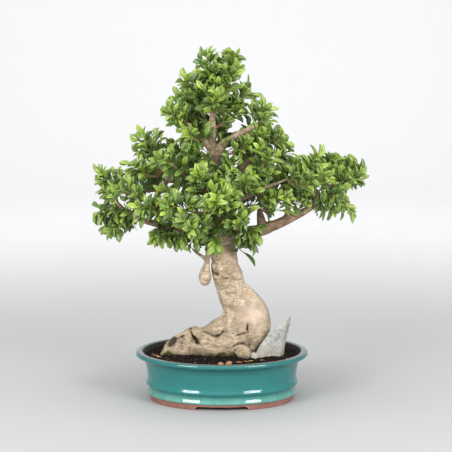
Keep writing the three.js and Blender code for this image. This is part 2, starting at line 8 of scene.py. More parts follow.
import bmesh
import bpy
import numpy as np
from mathutils import Euler, Matrix, Vector, noise


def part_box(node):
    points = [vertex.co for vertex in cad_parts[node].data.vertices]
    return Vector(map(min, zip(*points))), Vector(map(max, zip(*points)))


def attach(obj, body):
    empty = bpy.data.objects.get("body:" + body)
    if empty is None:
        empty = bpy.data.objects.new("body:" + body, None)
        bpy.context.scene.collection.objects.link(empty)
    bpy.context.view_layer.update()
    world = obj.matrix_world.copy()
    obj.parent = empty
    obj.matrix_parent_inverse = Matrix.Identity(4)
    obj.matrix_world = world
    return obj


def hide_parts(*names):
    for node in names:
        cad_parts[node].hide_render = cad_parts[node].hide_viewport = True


bl_info = {
    "name": "Banyan bonsai",
    "version": (1, 0, 0),
    "blender": (4, 5, 0),
    "location": "3D View > Sidebar > Bonsai",
    "description": "Dresses the solids of a potted banyan with bark, leaves, glaze and soil",
    "category": "Add Mesh",
}

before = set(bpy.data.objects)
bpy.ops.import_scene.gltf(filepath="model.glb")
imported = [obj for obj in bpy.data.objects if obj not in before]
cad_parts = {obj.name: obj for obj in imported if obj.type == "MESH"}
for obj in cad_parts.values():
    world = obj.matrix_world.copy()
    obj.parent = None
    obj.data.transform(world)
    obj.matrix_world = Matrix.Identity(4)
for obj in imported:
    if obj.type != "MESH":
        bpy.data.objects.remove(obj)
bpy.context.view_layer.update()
POT_BOX = np.array(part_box("pot"))
POT_MIDDLE = np.array([*POT_BOX.mean(axis=0)[:2], 0.0])
MM = 0.001
BODY = "root"

# Pot and soil
POT_HALF_LENGTH = 200
POT_HALF_WIDTH = 154
POT_DIFFERENCE = POT_HALF_LENGTH - POT_HALF_WIDTH
GLAZE_END = 15
SOIL_HALF_LENGTH = 177
SOIL_HALF_WIDTH = 131
SOIL_EDGE = 103.5
SOIL_CROWN = 111
DRAIN_OFFSET = 76
DRAIN_RADIUS = 12

# Tree
CROWN_FOOT = 330
BRANCHES_FOOT = 340
ROUGH_BARK_TOP = 372
SHOOT_LENGTH = 44
SHOOT_LEVELS = 7
SHOOT_RADIUS = 1.9
SIDE_SHOOT_RADIUS = 1.3
HANGING_RADIUS = 1.8
STALK_SHARE = 0.19
CROWN_AXIS = np.array([-10.0, 0.0, 0.0])

# Heights in metres between which a tint comes in on the glaze, the wood and the stone; the one under the
# lip is painted shade
LIP_SHADE = (0.078, 0.1)
BAND_TINT = (0.04, 0.018)
ROOT_TINT = (0.2, 0.155)
STONE_TINT = (0.145, 0.115)

# Camera
CAMERA_DISTANCE = 4.5
CAMERA_RISE = math.radians(13.6)
CAMERA_DIP = math.radians(9.93)
CAMERA_SIDE = 0.0096
CAMERA_LENS = 153.8
SENSOR = 36.0
LOOK_HEIGHT = 0.114
CAMERA_EYE = (
    CAMERA_SIDE, -CAMERA_DISTANCE * math.cos(CAMERA_RISE),
    LOOK_HEIGHT + CAMERA_DISTANCE * math.sin(CAMERA_RISE),
)


# Places and meshes

def in_frame(points):
    """Millimetres round the pot's middle, as metres in the frame."""
    return np.asarray(points, float) * MM + POT_MIDDLE


def round_pot(points):
    """Metres in the frame, as millimetres round the pot's middle."""
    return (np.asarray(points, float) - POT_MIDDLE) / MM


def new_object(name, mesh, material=None):
    piece = bpy.data.objects.new(name, mesh)
    bpy.context.scene.collection.objects.link(piece)
    if material is not None:
        mesh.materials.clear()
        mesh.materials.append(material)
    return piece


def new_piece(name, points, faces, material=None):
    """Object from millimetre points round the pot's middle and faces of point numbers."""
    mesh = bpy.data.meshes.new(name)
    mesh.from_pydata(in_frame(points).tolist(), [], [list(map(int, face)) for face in faces])
    mesh.update()
    mesh.shade_smooth()
    return new_object(name, mesh, material)


def baked(piece):
    """Turns the piece into the plain mesh that its modifiers make."""
    depsgraph = bpy.context.evaluated_depsgraph_get()
    result = bpy.data.meshes.new_from_object(piece.evaluated_get(depsgraph), depsgraph=depsgraph)
    before = piece.data
    piece.modifiers.clear()
    piece.data = result
    result.name = piece.name
    bpy.data.meshes.remove(before)
    return piece


def remeshed(piece, voxel):
    """Makes the piece one even skin of small faces, with a cell in millimetres."""
    remesh = piece.modifiers.new("Remesh", "REMESH")
    remesh.mode = "VOXEL"
    remesh.voxel_size = voxel * MM
    return baked(piece)


def coordinates(mesh):
    flat = np.empty(3 * len(mesh.vertices))
    mesh.vertices.foreach_get("co", flat)
    return flat.reshape(-1, 3)


def set_coordinates(mesh, places):
    mesh.vertices.foreach_set("co", np.asarray(places, float).ravel())
    mesh.update()


def normals(mesh):
    flat = np.empty(3 * len(mesh.vertices))
    mesh.vertices.foreach_get("normal", flat)
    return flat.reshape(-1, 3)


def write_attribute(mesh, name, values, kind="FLOAT"):
    layer = mesh.attributes.new(name, kind, "POINT")
    field = "vector" if kind == "FLOAT_VECTOR" else "value"
    layer.data.foreach_set(field, np.asarray(values, float).ravel())


def hand_in(piece, slot, *nodes):
    """Gives a finished piece its body and hides the nodes that it stands for. The slot is not used."""
    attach(piece, BODY)
    if nodes:
        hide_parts(*nodes)
    return piece


def unit(vector):
    return vector / np.linalg.norm(vector)


def draw(first, second):
    """Repeatable draw from 0 to 1 for a pair of whole numbers, the one that the solids use."""
    value = math.sin(first * 127.1 + second * 311.7) * 43758.5453
    return value - math.floor(value)


def noise_at(points, wavelength, seed=0.0, stretch=(1, 1, 1)):
    """Smooth noise from about -1 to 1 at points, with a wavelength in the points' own unit."""
    scaled = points * np.array(stretch) / wavelength + 17.3 * seed
    return np.array([noise.noise(Vector(point)) for point in scaled])


def joined(parts):
    """One list of points and one of faces from several."""
    points = []
    faces = []
    for part_points, part_faces in parts:
        start = len(points)
        points.extend(part_points)
        faces.extend([[index + start for index in face] for face in part_faces])
    return np.array(points), faces


# Shader building

class Shader:
    """A node tree with short calls to add nodes and to wire them."""

    def __init__(self, tree):
        self.tree = tree

    def wire(self, socket, value):
        if isinstance(value, bpy.types.NodeSocket):
            self.tree.links.new(value, socket)
        else:
            socket.default_value = value

    def add(self, kind, values=None, **settings):
        node = self.tree.nodes.new(kind)
        for key, value in settings.items():
            setattr(node, key, value)
        for name, value in (values or {}).items():
            self.wire(node.inputs[name], value)
        return node

    def place(self):
        return self.add("ShaderNodeTexCoord").outputs["Object"]

    def attribute(self, name):
        return self.add("ShaderNodeAttribute", attribute_name=name).outputs["Fac"]

    def noise(self, vector, scale, detail=3.0, roughness=0.55, distortion=0.0):
        values = {"Vector": vector, "Scale": scale, "Detail": detail, "Roughness": roughness,
                  "Distortion": distortion}
        return self.add("ShaderNodeTexNoise", values).outputs["Fac"]

    def stretched(self, vector, scale):
        return self.add("ShaderNodeMapping", {"Vector": vector, "Scale": scale}).outputs["Vector"]

    def ramp(self, value, low, high, start=0.0, end=1.0):
        values = {"Value": value, "From Min": low, "From Max": high, "To Min": start, "To Max": end}
        node = self.add("ShaderNodeMapRange", values, interpolation_type="SMOOTHSTEP")
        return node.outputs["Result"]

    def math(self, operation, first, second=0.0):
        node = self.add("ShaderNodeMath", operation=operation)
        self.wire(node.inputs[0], first)
        self.wire(node.inputs[1], second)
        return node.outputs[0]

    def times(self, first, second):
        return self.math("MULTIPLY", first, second)

    def plus(self, first, second):
        return self.math("ADD", first, second)

    def minus(self, first, second):
        return self.math("SUBTRACT", first, second)

    def mix(self, share, first, second, blend="MIX"):
        node = self.add("ShaderNodeMix", data_type="RGBA", blend_type=blend)
        self.wire(node.inputs[0], share)
        self.wire(node.inputs[6], first)
        self.wire(node.inputs[7], second)
        return node.outputs[2]

    def group(self, name, values, output):
        node = self.add("ShaderNodeGroup", node_tree=bpy.data.node_groups[name])
        for key, value in values.items():
            self.wire(node.inputs[key], value)
        return node.outputs[output]

    def mottle(self, vector, size, sharpness=0.2):
        values = {"Vector": vector, "Size": size, "Sharpness": sharpness}
        return self.group("Mottle", values, "Mask")

    def specks(self, vector, spacing, size, share):
        values = {"Vector": vector, "Spacing": spacing, "Size": size, "Share": share}
        return self.group("Speckle", values, "Mask")

    def height_of(self, vector):
        return self.add("ShaderNodeSeparateXYZ", {"Vector": vector}).outputs["Z"]

    def bump(self, height, distance, strength=1.0):
        values = {"Height": height, "Distance": distance, "Strength": strength}
        return self.add("ShaderNodeBump", values).outputs["Normal"]


def new_group(name, inputs, outputs):
    """Shader node group with named sockets. Returns its builder, its inputs and its output node."""
    tree = bpy.data.node_groups.new(name, "ShaderNodeTree")
    for socket_name, kind, default in inputs:
        socket = tree.interface.new_socket(socket_name, in_out="INPUT", socket_type=kind)
        if default is not None:
            socket.default_value = default
    for socket_name, kind in outputs:
        tree.interface.new_socket(socket_name, in_out="OUTPUT", socket_type=kind)
    shader = Shader(tree)
    return shader, shader.add("NodeGroupInput").outputs, shader.add("NodeGroupOutput").inputs


def make_mottle_group():
    """Soft patches of two scales, for every natural surface and for the glaze."""
    shader, given, out = new_group(
        "Mottle",
        [("Vector", "NodeSocketVector", None), ("Size", "NodeSocketFloat", 0.03),
         ("Sharpness", "NodeSocketFloat", 0.2)],
        [("Mask", "NodeSocketFloat")])
    scale = shader.math("DIVIDE", 1.0, given["Size"])
    broad = shader.noise(given["Vector"], scale, 2.0)
    fine = shader.noise(given["Vector"], shader.times(scale, 3.7), 3.0)
    both = shader.plus(shader.times(broad, 0.65), shader.times(fine, 0.35))
    low = shader.plus(0.32, shader.times(given["Sharpness"], 0.17))
    high = shader.minus(0.68, shader.times(given["Sharpness"], 0.17))
    shader.wire(out["Mask"], shader.ramp(both, low, high))


def make_speckle_group():
    """Separate round specks of uneven size, such as lenticels, grit and mineral grains."""
    shader, given, out = new_group(
        "Speckle",
        [("Vector", "NodeSocketVector", None), ("Spacing", "NodeSocketFloat", 0.004),
         ("Size", "NodeSocketFloat", 0.3), ("Share", "NodeSocketFloat", 0.6)],
        [("Mask", "NodeSocketFloat")])
    scale = shader.math("DIVIDE", 1.0, given["Spacing"])
    cells = shader.add("ShaderNodeTexVoronoi", {"Vector": given["Vector"], "Scale": scale})
    pick = shader.add("ShaderNodeSeparateColor", {"Color": cells.outputs["Color"]}).outputs["Red"]
    chosen = shader.math("LESS_THAN", pick, given["Share"])
    edge = shader.times(given["Size"], shader.ramp(pick, 0.0, 1.0, 0.7, 1.3))
    inner = shader.times(edge, 0.45)
    dot = shader.ramp(cells.outputs["Distance"], inner, edge, 1.0, 0.0)
    shader.wire(out["Mask"], shader.times(dot, chosen))


def new_material(name, roughness=0.6, **constants):
    """Material with a Principled shader. Constants are set on the shader's own sockets."""
    material = bpy.data.materials.new(name)
    material.use_nodes = True
    shader = Shader(material.node_tree)
    surface = material.node_tree.nodes["Principled BSDF"]
    surface.inputs["Roughness"].default_value = roughness
    for key, value in constants.items():
        surface.inputs[key.replace("_", " ")].default_value = value
    return material, shader, surface.inputs


def colour(settings, name):
    return (*getattr(settings, name), 1.0)


def make_glaze(settings):
    """Teal glaze, thin and pale green on the raised band, with unglazed clay below it, painted shade
    under the lip, and a soil-stained inner wall with painted shade.
    """
    material, shader, surface = new_material(
        "Teal glaze over clay", IOR=1.46, Coat_Roughness=0.04)
    place = shader.place()
    height = shader.height_of(place)
    streaks = shader.noise(shader.stretched(place, (60, 60, 9)), 1.0, 3.0)
    mottle = shader.mottle(place, 0.05)
    teal = shader.mix(shader.ramp(mottle, 0, 1, 0.0, 0.22), colour(settings, "glaze"),
                      colour(settings, "glaze_deep_and_shade"))
    # painted shade under the lip: the wall turns towards the deep glaze colour as it rises to the lip
    lip_shade_share = shader.ramp(height, *LIP_SHADE, 0.0, 0.55)
    teal = shader.mix(lip_shade_share, teal, colour(settings, "glaze_deep_and_shade"))
    low = shader.ramp(height, *BAND_TINT)
    low = shader.times(low, shader.ramp(streaks, 0.2, 0.7, 0.55, 1.0))
    teal = shader.mix(low, teal, colour(settings, "glaze_thin"))
    crease = shader.attribute("crease")
    teal = shader.mix(shader.times(crease, 0.15), teal, colour(settings, "glaze_deep_and_shade"))
    # dark grey over the whole top of the lip
    edge = shader.attribute("edge")
    teal = shader.mix(shader.times(edge, 0.85), teal, colour(settings, "glaze_lip_top"))
    specks = shader.specks(place, 0.011, 0.07, 0.3)
    teal = shader.mix(shader.times(specks, 0.35), teal, colour(settings, "glaze_speck"))
    grain = shader.noise(place, 900, 4.0)
    clay = shader.mix(shader.mottle(place, 0.02), colour(settings, "clay"), colour(settings, "clay_pale"))
    clay = shader.mix(shader.ramp(grain, 0.55, 0.75, 0.0, 0.35), clay, colour(settings, "clay_grit"))
    ragged = shader.plus(shader.attribute("clay"), shader.times(shader.minus(streaks, 0.5), 0.5))
    bare = shader.ramp(ragged, 0.45, 0.55)
    # inner wall above the soil: soil-stained colour with painted shade
    stain = shader.attribute("stain")
    skin = shader.mix(stain, shader.mix(bare, teal, clay), colour(settings, "inside_stain_and_shade"))
    shader.wire(surface["Base Color"], skin)
    matt = shader.math("MAXIMUM", bare, shader.times(stain, 0.8))
    shader.wire(surface["Roughness"], shader.ramp(matt, 0, 1, 0.07, 0.88))
    shader.wire(surface["Coat Weight"], shader.ramp(matt, 0, 1, 0.2, 0.0))
    wavy = shader.noise(place, 45, 2.0)
    rough = shader.times(shader.times(grain, bare), 0.25)
    shader.wire(surface["Normal"], shader.bump(shader.plus(wavy, rough), 0.0012, 0.5))
    return material


def make_bark(settings):
    """Pale banyan bark: mottled tan with lenticels, painted shade in its folds, pits and rings, moss,
    soil-stained bark with painted shadow at the soil line, and browner branches with painted shade under
    the crown.
    """
    material, shader, surface = new_material("Banyan bark", 0.72)
    place = shader.place()
    broad = shader.mottle(place, 0.06)
    fine = shader.mottle(place, 0.012, 0.9)
    skin = shader.mix(broad, colour(settings, "bark"), colour(settings, "bark_tan"))
    skin = shader.mix(shader.times(fine, 0.55), skin, colour(settings, "bark_pale"))
    wrinkled = shader.noise(shader.stretched(place, (70, 70, 300)), 1.0, 4.0, 0.6)
    lines = shader.ramp(wrinkled, 0.5, 0.34, 0.0, 0.75)
    smooth = shader.attribute("smooth")
    rougher = shader.minus(1.0, smooth)
    skin = shader.mix(shader.times(lines, rougher), skin, colour(settings, "bark_dark"))
    flat = shader.stretched(place, (1, 1, 1.7))
    lenticels = shader.specks(flat, 0.0062, 0.44, 0.6)
    pale = shader.specks(shader.stretched(place, (1.3, 1.3, 1.3)), 0.0068, 0.36, 0.5)
    skin = shader.mix(shader.times(pale, 0.6), skin, colour(settings, "bark_pale"))
    cracks = shader.add("ShaderNodeTexVoronoi", {"Vector": shader.stretched(place, (150, 150, 230))},
                        feature="DISTANCE_TO_EDGE").outputs["Distance"]
    plates = shader.ramp(cracks, 0.0, 0.16, 1.0, 0.0)
    plates = shader.times(plates, shader.ramp(shader.noise(place, 35, 2.0), 0.4, 0.62))
    skin = shader.mix(shader.times(plates, 0.5), skin, colour(settings, "bark_dark"))
    strength = shader.ramp(rougher, 0, 1, 0.25, 0.92)
    skin = shader.mix(shader.times(lenticels, strength), skin, colour(settings, "bark_dark"))
    skin = shader.mix(shader.times(smooth, 0.7), skin, colour(settings, "bark_pink"))
    # browner branch bark with painted shade under the crown, some of it on all wood high up
    tinted = shader.mix(1.0, skin, colour(settings, "bark_branch_and_shade"), "MULTIPLY")
    skin = shader.mix(shader.attribute("branch"), skin, tinted)
    low = shader.ramp(shader.height_of(place), *ROOT_TINT)
    skin = shader.mix(low, skin, shader.mix(1.0, skin, colour(settings, "bark_low"), "MULTIPLY"))
    # painted shade in folds, pits, rings and sunken places
    hollow = shader.attribute("hollow")
    skin = shader.mix(shader.ramp(hollow, 0.12, 0.95, 0.0, 0.96), skin, colour(settings, "bark_shade_and_grime"))
    patches = shader.ramp(shader.noise(place, 260, 3.0), 0.35, 0.6, 0.4, 1.25)
    moss = shader.times(shader.attribute("moss"), patches)
    skin = shader.mix(shader.ramp(moss, 0.25, 0.7, 0.0, 0.85), skin, colour(settings, "moss"))
    # soil stain and painted shadow just above the soil line, where the roots overhang it
    grime_and_shade = shader.times(shader.attribute("soiled"), shader.ramp(fine, 0, 1, 0.5, 1.0))
    skin = shader.mix(grime_and_shade, skin, colour(settings, "bark_shade_and_grime"))
    shader.wire(surface["Base Color"], skin)
    shader.wire(surface["Roughness"], shader.ramp(broad, 0, 1, 0.62, 0.82))
    relief = shader.plus(shader.times(wrinkled, 0.9), shader.noise(place, 420, 5.0, 0.65))
    relief = shader.minus(relief, shader.times(lenticels, 0.45))
    relief = shader.plus(relief, shader.times(pale, 0.4))
    relief = shader.minus(relief, shader.times(plates, 0.5))
    shader.wire(surface["Normal"], shader.bump(relief, 0.0018, 0.7))
    return material


def make_twig_bark(settings):
    """Thin orange-brown bark of twigs, turning green towards the shoots."""
    material, shader, surface = new_material("Twig bark", 0.6)
    place = shader.place()
    tone = shader.mottle(place, 0.012)
    brown = shader.mix(tone, colour(settings, "twig"), colour(settings, "twig_dark"))
    young = shader.attribute("young")
    shader.wire(surface["Base Color"], shader.mix(young, brown, colour(settings, "shoot")))
    shader.wire(surface["Normal"], shader.bump(shader.noise(place, 700, 3.0), 0.0006, 0.5))
    return material


def make_leaf(settings):
    """Leathery leaf: dark when old and darker still in painted shade inside the crown, lime when young,
    with a pale midrib and a satin gloss.
    """
    material, shader, surface = new_material(
        "Banyan leaf", 0.3, Coat_Weight=0.22, Coat_Roughness=0.22)
    place = shader.place()
    spread = shader.add("ShaderNodeUVMap", uv_map="UVMap").outputs["UV"]
    parts = shader.add("ShaderNodeSeparateXYZ", {"Vector": spread}).outputs
    # darker leaves low down and near the trunk stand partly for painted shade inside the crown
    age = shader.attribute("age")
    tone = shader.attribute("tone")
    young = shader.mix(tone, colour(settings, "leaf_young"), colour(settings, "leaf_lime"))
    old = shader.mix(tone, colour(settings, "leaf_old"), colour(settings, "leaf_mature"))
    blade = shader.mix(shader.ramp(age, 0.0, 1.0), young, old)
    patches = shader.noise(place, 120, 2.0)
    blade = shader.mix(shader.ramp(patches, 0.35, 0.7, 0.0, 0.22), blade, colour(settings, "leaf_lime"))
    off_rib = shader.math("ABSOLUTE", shader.minus(parts["Y"], 0.5))
    rib = shader.ramp(off_rib, 0.05, 0.012, 0.0, 0.5)
    slant = shader.plus(parts["X"], shader.times(off_rib, -0.8))
    wave = shader.math("SINE", shader.times(slant, 62.0))
    veins = shader.ramp(wave, 0.86, 1.0, 0.0, 0.16)
    pale = shader.mix(0.5, blade, colour(settings, "leaf_rib"))
    blade = shader.mix(shader.math("MAXIMUM", rib, veins), blade, pale)
    under = shader.attribute("under")
    blade = shader.mix(shader.times(under, 0.4), blade, colour(settings, "leaf_under"))
    shader.wire(surface["Base Color"], blade)
    shader.wire(surface["Roughness"], shader.ramp(under, 0, 1, 0.3, 0.5))
    relief = shader.minus(shader.noise(place, 300, 2.0), shader.times(rib, 1.5))
    shader.wire(surface["Normal"], shader.bump(relief, 0.0004, 0.35))
    return material


def make_moss_material(settings):
    """Moss, blade by blade from dark to yellowish green."""
    material, shader, surface = new_material("Moss", 0.85)
    tone = shader.attribute("tone")
    green = shader.mix(tone, colour(settings, "moss"), colour(settings, "moss_pale"))
    shader.wire(surface["Base Color"], green)
    return material


def make_soil_material(settings):
    """Dark potting soil: black-brown crumbs with a few paler ones."""
    material, shader, surface = new_material("Potting soil", 1.0, Specular_IOR_Level=0.15)
    place = shader.place()
    fine = shader.noise(place, 420, 5.0, 0.7)
    tone = shader.attribute("tone")
    damp = shader.ramp(fine, 0.35, 0.7)
    dark = shader.mix(damp, colour(settings, "soil_dark"), colour(settings, "soil"))
    crumb = shader.mix(shader.ramp(tone, 0.86, 0.97), dark, colour(settings, "soil_pale"))
    shader.wire(surface["Base Color"], crumb)
    shader.wire(surface["Normal"], shader.bump(fine, 0.0015, 0.7))
    return material


def make_stone_material(settings):
    """Grey slate with pale veins, dark pits and a warm tint low down."""
    material, shader, surface = new_material("Grey stone", 0.78)
    place = shader.place()
    broad = shader.mottle(place, 0.03)
    grains = shader.mottle(place, 0.006, 0.7)
    grey = shader.mix(broad, colour(settings, "stone"), colour(settings, "stone_dark"))
    grey = shader.mix(shader.times(grains, 0.45), grey, colour(settings, "stone_pale"))
    warm = shader.ramp(shader.height_of(place), *STONE_TINT, 0.0, 0.4)
    grey = shader.mix(warm, grey, colour(settings, "stone_warm"))
    pits = shader.specks(place, 0.008, 0.3, 0.35)
    grey = shader.mix(shader.times(pits, 0.35), grey, colour(settings, "stone_dark"))
    shader.wire(surface["Base Color"], grey)
    relief = shader.minus(shader.noise(place, 240, 5.0, 0.65), shader.times(pits, 0.5))
    shader.wire(surface["Normal"], shader.bump(relief, 0.002, 0.6))
    return material


def make_chip_material(name, settings, base, second):
    """Pebbles, bark chips and other loose bits, told apart by their two colours."""
    material, shader, surface = new_material(name, 0.8)
    place = shader.place()
    mottle = shader.mottle(place, 0.005, 0.6)
    skin = shader.mix(mottle, colour(settings, base), colour(settings, second))
    shader.wire(surface["Base Color"], skin)
    shader.wire(surface["Normal"], shader.bump(shader.noise(place, 600, 4.0, 0.6), 0.0012, 0.5))
    return material


def make_screen_material(settings):
    """Black plastic mesh with a fine moulded grain."""
    material, shader, surface = new_material("Screen plastic", 0.45)
    place = shader.place()
    grain = shader.noise(place, 1500, 3.0)
    dust = shader.mottle(place, 0.01)
    dusty = shader.ramp(dust, 0.5, 1, 0, 0.3)
    skin = shader.mix(dusty, colour(settings, "screen"), colour(settings, "soil_pale"))
    shader.wire(surface["Base Color"], skin)
    shader.wire(surface["Roughness"], shader.ramp(dust, 0, 1, 0.4, 0.7))
    shader.wire(surface["Normal"], shader.bump(grain, 0.0002, 0.5))
    return material


# Settings

def colour_setting(name, description, red, green, blue):
    return bpy.props.FloatVectorProperty(
        name=name, description=description, default=(red, green, blue), subtype="COLOR", size=3,
        min=0.0, max=1.0)


def length_setting(name, description, metres):
    return bpy.props.FloatProperty(name=name, description=description, default=metres, unit="LENGTH")


class BonsaiColours(bpy.types.PropertyGroup):
    """Colours of the bonsai's surfaces, as linear light."""

    glaze: colour_setting("Glaze", "Teal glaze on the wall", 0.021, 0.188, 0.178)
    # glaze that lies thick, also used as painted shade under the lip
    glaze_deep_and_shade: colour_setting("Deep glaze", "Glaze where it lies thick", 0.01, 0.13, 0.13)
    glaze_thin: colour_setting("Thin glaze", "Glaze on the lower band", 0.125, 0.345, 0.285)
    # dark grey laid over the whole top of the lip
    glaze_lip_top: colour_setting("Glaze edge", "Glaze where it runs off an edge", 0.075, 0.09, 0.085)
    glaze_speck: colour_setting("Glaze specks", "Dark iron specks in the glaze", 0.01, 0.03, 0.03)
    clay: colour_setting("Clay", "Unglazed clay of the feet", 0.28, 0.12, 0.09)
    clay_pale: colour_setting("Pale clay", "Dusty clay of the feet", 0.355, 0.178, 0.138)
    clay_grit: colour_setting("Clay grit", "Dark grit in the clay", 0.12, 0.05, 0.03)
    bark: colour_setting("Bark", "Most of the bark", 0.55, 0.42, 0.29)
    bark_tan: colour_setting("Tan bark", "Warmer patches", 0.48, 0.35, 0.22)
    bark_pale: colour_setting("Pale bark", "Raised specks and worn ridges", 0.74, 0.62, 0.47)
    bark_pink: colour_setting("Pink bark", "Smooth skin over the knee", 0.62, 0.47, 0.365)
    bark_dark: colour_setting("Dark bark", "Lenticels and wrinkles", 0.25, 0.175, 0.1)
    # browner bark of the branches, darkened further as painted shade under the crown
    bark_branch_and_shade: colour_setting("Branch bark", "Tint of the branches", 0.52, 0.43, 0.36)
    bark_low: colour_setting("Root bark", "Tint of the surface roots", 0.86, 0.86, 0.845)
    # painted shade in folds, pits and rings, also used for soil stain with painted shadow at the soil
    # line
    bark_shade_and_grime: colour_setting("Bark folds", "Deep folds and hollows", 0.042, 0.026, 0.016)
    moss: colour_setting("Moss", "Moss on the roots", 0.06, 0.095, 0.018)
    moss_pale: colour_setting("Pale moss", "Yellowish blades of moss", 0.16, 0.21, 0.035)
    twig: colour_setting("Twig", "Bark of the twigs", 0.36, 0.2, 0.11)
    twig_dark: colour_setting("Dark twig", "Darker bark of the twigs", 0.2, 0.12, 0.07)
    shoot: colour_setting("Shoot", "Green tip of a shoot", 0.22, 0.3, 0.07)
    leaf_young: colour_setting("Young leaf", "Youngest leaves", 0.22, 0.35, 0.04)
    leaf_lime: colour_setting("Lime leaf", "Brightest young leaves", 0.36, 0.48, 0.07)
    leaf_mature: colour_setting("Mature leaf", "Full-grown leaves", 0.075, 0.165, 0.02)
    leaf_old: colour_setting("Old leaf", "Darkest leaves", 0.024, 0.07, 0.012)
    leaf_rib: colour_setting("Midrib", "Midrib and veins", 0.45, 0.55, 0.2)
    leaf_under: colour_setting("Leaf underside", "Underside of a leaf", 0.25, 0.36, 0.15)
    soil: colour_setting("Soil", "Potting soil", 0.016, 0.011, 0.008)
    soil_dark: colour_setting("Dark soil", "Damp soil", 0.005, 0.0035, 0.003)
    soil_pale: colour_setting("Pale crumb", "A few dry crumbs", 0.12, 0.08, 0.05)
    stone: colour_setting("Stone", "Grey stone", 0.45, 0.44, 0.405)
    stone_dark: colour_setting("Dark stone", "Dark grain of the stone", 0.22, 0.22, 0.2)
    stone_pale: colour_setting("Pale stone", "Pale grain of the stone", 0.6, 0.59, 0.555)
    stone_warm: colour_setting("Stained stone", "Stain near the soil", 0.5, 0.42, 0.33)
    pebble_beige: colour_setting("Beige pebble", "Left pebble", 0.4, 0.27, 0.17)
    pebble_brown: colour_setting("Brown pebble", "Right pebble", 0.3, 0.13, 0.05)
    chip_red: colour_setting("Red chip", "Chip beside the knob", 0.15, 0.04, 0.022)
    screen: colour_setting("Screen", "Drain screens", 0.012, 0.013, 0.014)
    # soil-stained colour with painted shade on the wall inside the rim
    inside_stain_and_shade: colour_setting("Pot inside", "Soiled wall inside the rim", 0.02, 0.017, 0.014)
    floor: colour_setting("Floor", "Studio floor", 0.4, 0.4, 0.4)
    backdrop: colour_setting("Backdrop", "Studio wall behind the tree", 0.78, 0.775, 0.78)


class BonsaiSizes(bpy.types.PropertyGroup):
    """Sizes of what is added to the solids."""

    leaf_length: length_setting("Leaf length", "Length of a full-grown leaf with its stalk", 0.0355)
    leaf_width: length_setting("Leaf width", "Width of a full-grown leaf", 0.0134)
    bark_relief: length_setting("Bark relief", "Height of the bark's bumps", 0.0011)
    wood_voxel: length_setting("Wood detail", "Cell in which the limbs grow together", 0.002)
    moss_length: length_setting("Moss length", "Length of a blade of moss", 0.0031)
    moss_blades: bpy.props.IntProperty(
        name="Moss blades", description="Blades of moss on the roots", default=1900, min=1)
    crumb: length_setting("Crumb", "Size of the largest soil crumbs", 0.0052)
    crumbs: bpy.props.IntProperty(
        name="Crumbs", description="Crumbs on top of the soil", default=4200, min=1)
    side_shoots: bpy.props.IntProperty(
        name="Side shoots", description="Side shoots of each leafy shoot", default=7, min=0)


# Pot

def rounded(profile, radius, steps=5):
    """Profile with each inner corner turned into a short curve."""
    profile = [np.array(point, float) for point in profile]
    out = [profile[0]]
    for before, corner, after in zip(profile, profile[1:], profile[2:]):
        back = before - corner
        ahead = after - corner
        reach = min(radius, 0.42 * np.linalg.norm(back), 0.42 * np.linalg.norm(ahead))
        start = corner + unit(back) * reach
        end = corner + unit(ahead) * reach
        for share in np.linspace(0, 1, steps):
            out.append((1 - share) ** 2 * start + 2 * share * (1 - share) * corner + share ** 2 * end)
    out.append(profile[-1])
    return out


def oval_turned(profile, segments):
    """Points and faces of an oval turned from half lengths and heights, closed on the axis."""
    points = []
    for radius, height in profile[1:-1]:
        for turn in np.linspace(0, 2 * math.pi, segments, endpoint=False):
            reach = max(radius, 3 * POT_DIFFERENCE)
            narrow = (reach - POT_DIFFERENCE) / reach
            points.append((radius * math.cos(turn), radius * math.sin(turn) * narrow, height))
    faces = []
    rings = len(profile) - 2
    for ring in range(rings - 1):
        for side in range(segments):
            low = ring * segments + side
            next_low = ring * segments + (side + 1) % segments
            faces.append((low, next_low, next_low + segments, low + segments))
    points.append((0, 0, profile[0][1]))
    points.append((0, 0, profile[-1][1]))
    first, last = len(points) - 2, len(points) - 1
    top = (rings - 1) * segments
    for side in range(segments):
        faces.append((first, (side + 1) % segments, side))
        faces.append((last, top + side, top + (side + 1) % segments))
    return points, faces


POT_OUTSIDE = [
    (0, 8), (141, 8), (144, 0), (167, 0), (169.6, 13.4), (171.9, 14.4), (173.3, 16.2), (173, 18.4),
    (171.5, 22), (170.2, 25.4), (169.9, 28.2), (170.6, 31.4), (172.2, 34), (174.2, 36), (176.1, 37.6),
    (177, 40), (176.2, 42.9), (174.1, 46.8), (172.8, 52), (173.3, 62), (177.5, 84), (182, 95),
    (190, 101), (198, 103.4), (200.4, 106.2), (200.3, 109.4), (198.8, 112.3), (196.2, 114),
]
POT_INSIDE = [(188, 114), (183.5, 112.5), (180, 106), (175, 96), (164, 40), (150, 16), (0, 16)]
POT_SEGMENTS = 200
OUTER_ROUNDING = 2.2
INNER_ROUNDING = 3.0
BAND_CREASE = 33.6
# Heights and half lengths of the lines that part the outside from the inside, and the lip's top
# from the inner wall, darkened with soil-stained colour and painted shade.
BARE_SIDE = ([14, 16, 40, 96], [152, 156, 168, 178.5])
STAINED_SHADED_SIDE = ([40, 96, 106, 112.5, 114], [165.5, 176.5, 181.5, 185, 187])
# Arches between the feet, as half widths at the top and at the bottom.
ARCH_TOP = 9
FRONT_ARCH = (56, 63)
END_ARCH = (20, 26)
KNIFE_REACH = 400
DRILL_HEIGHTS = (2, 30)


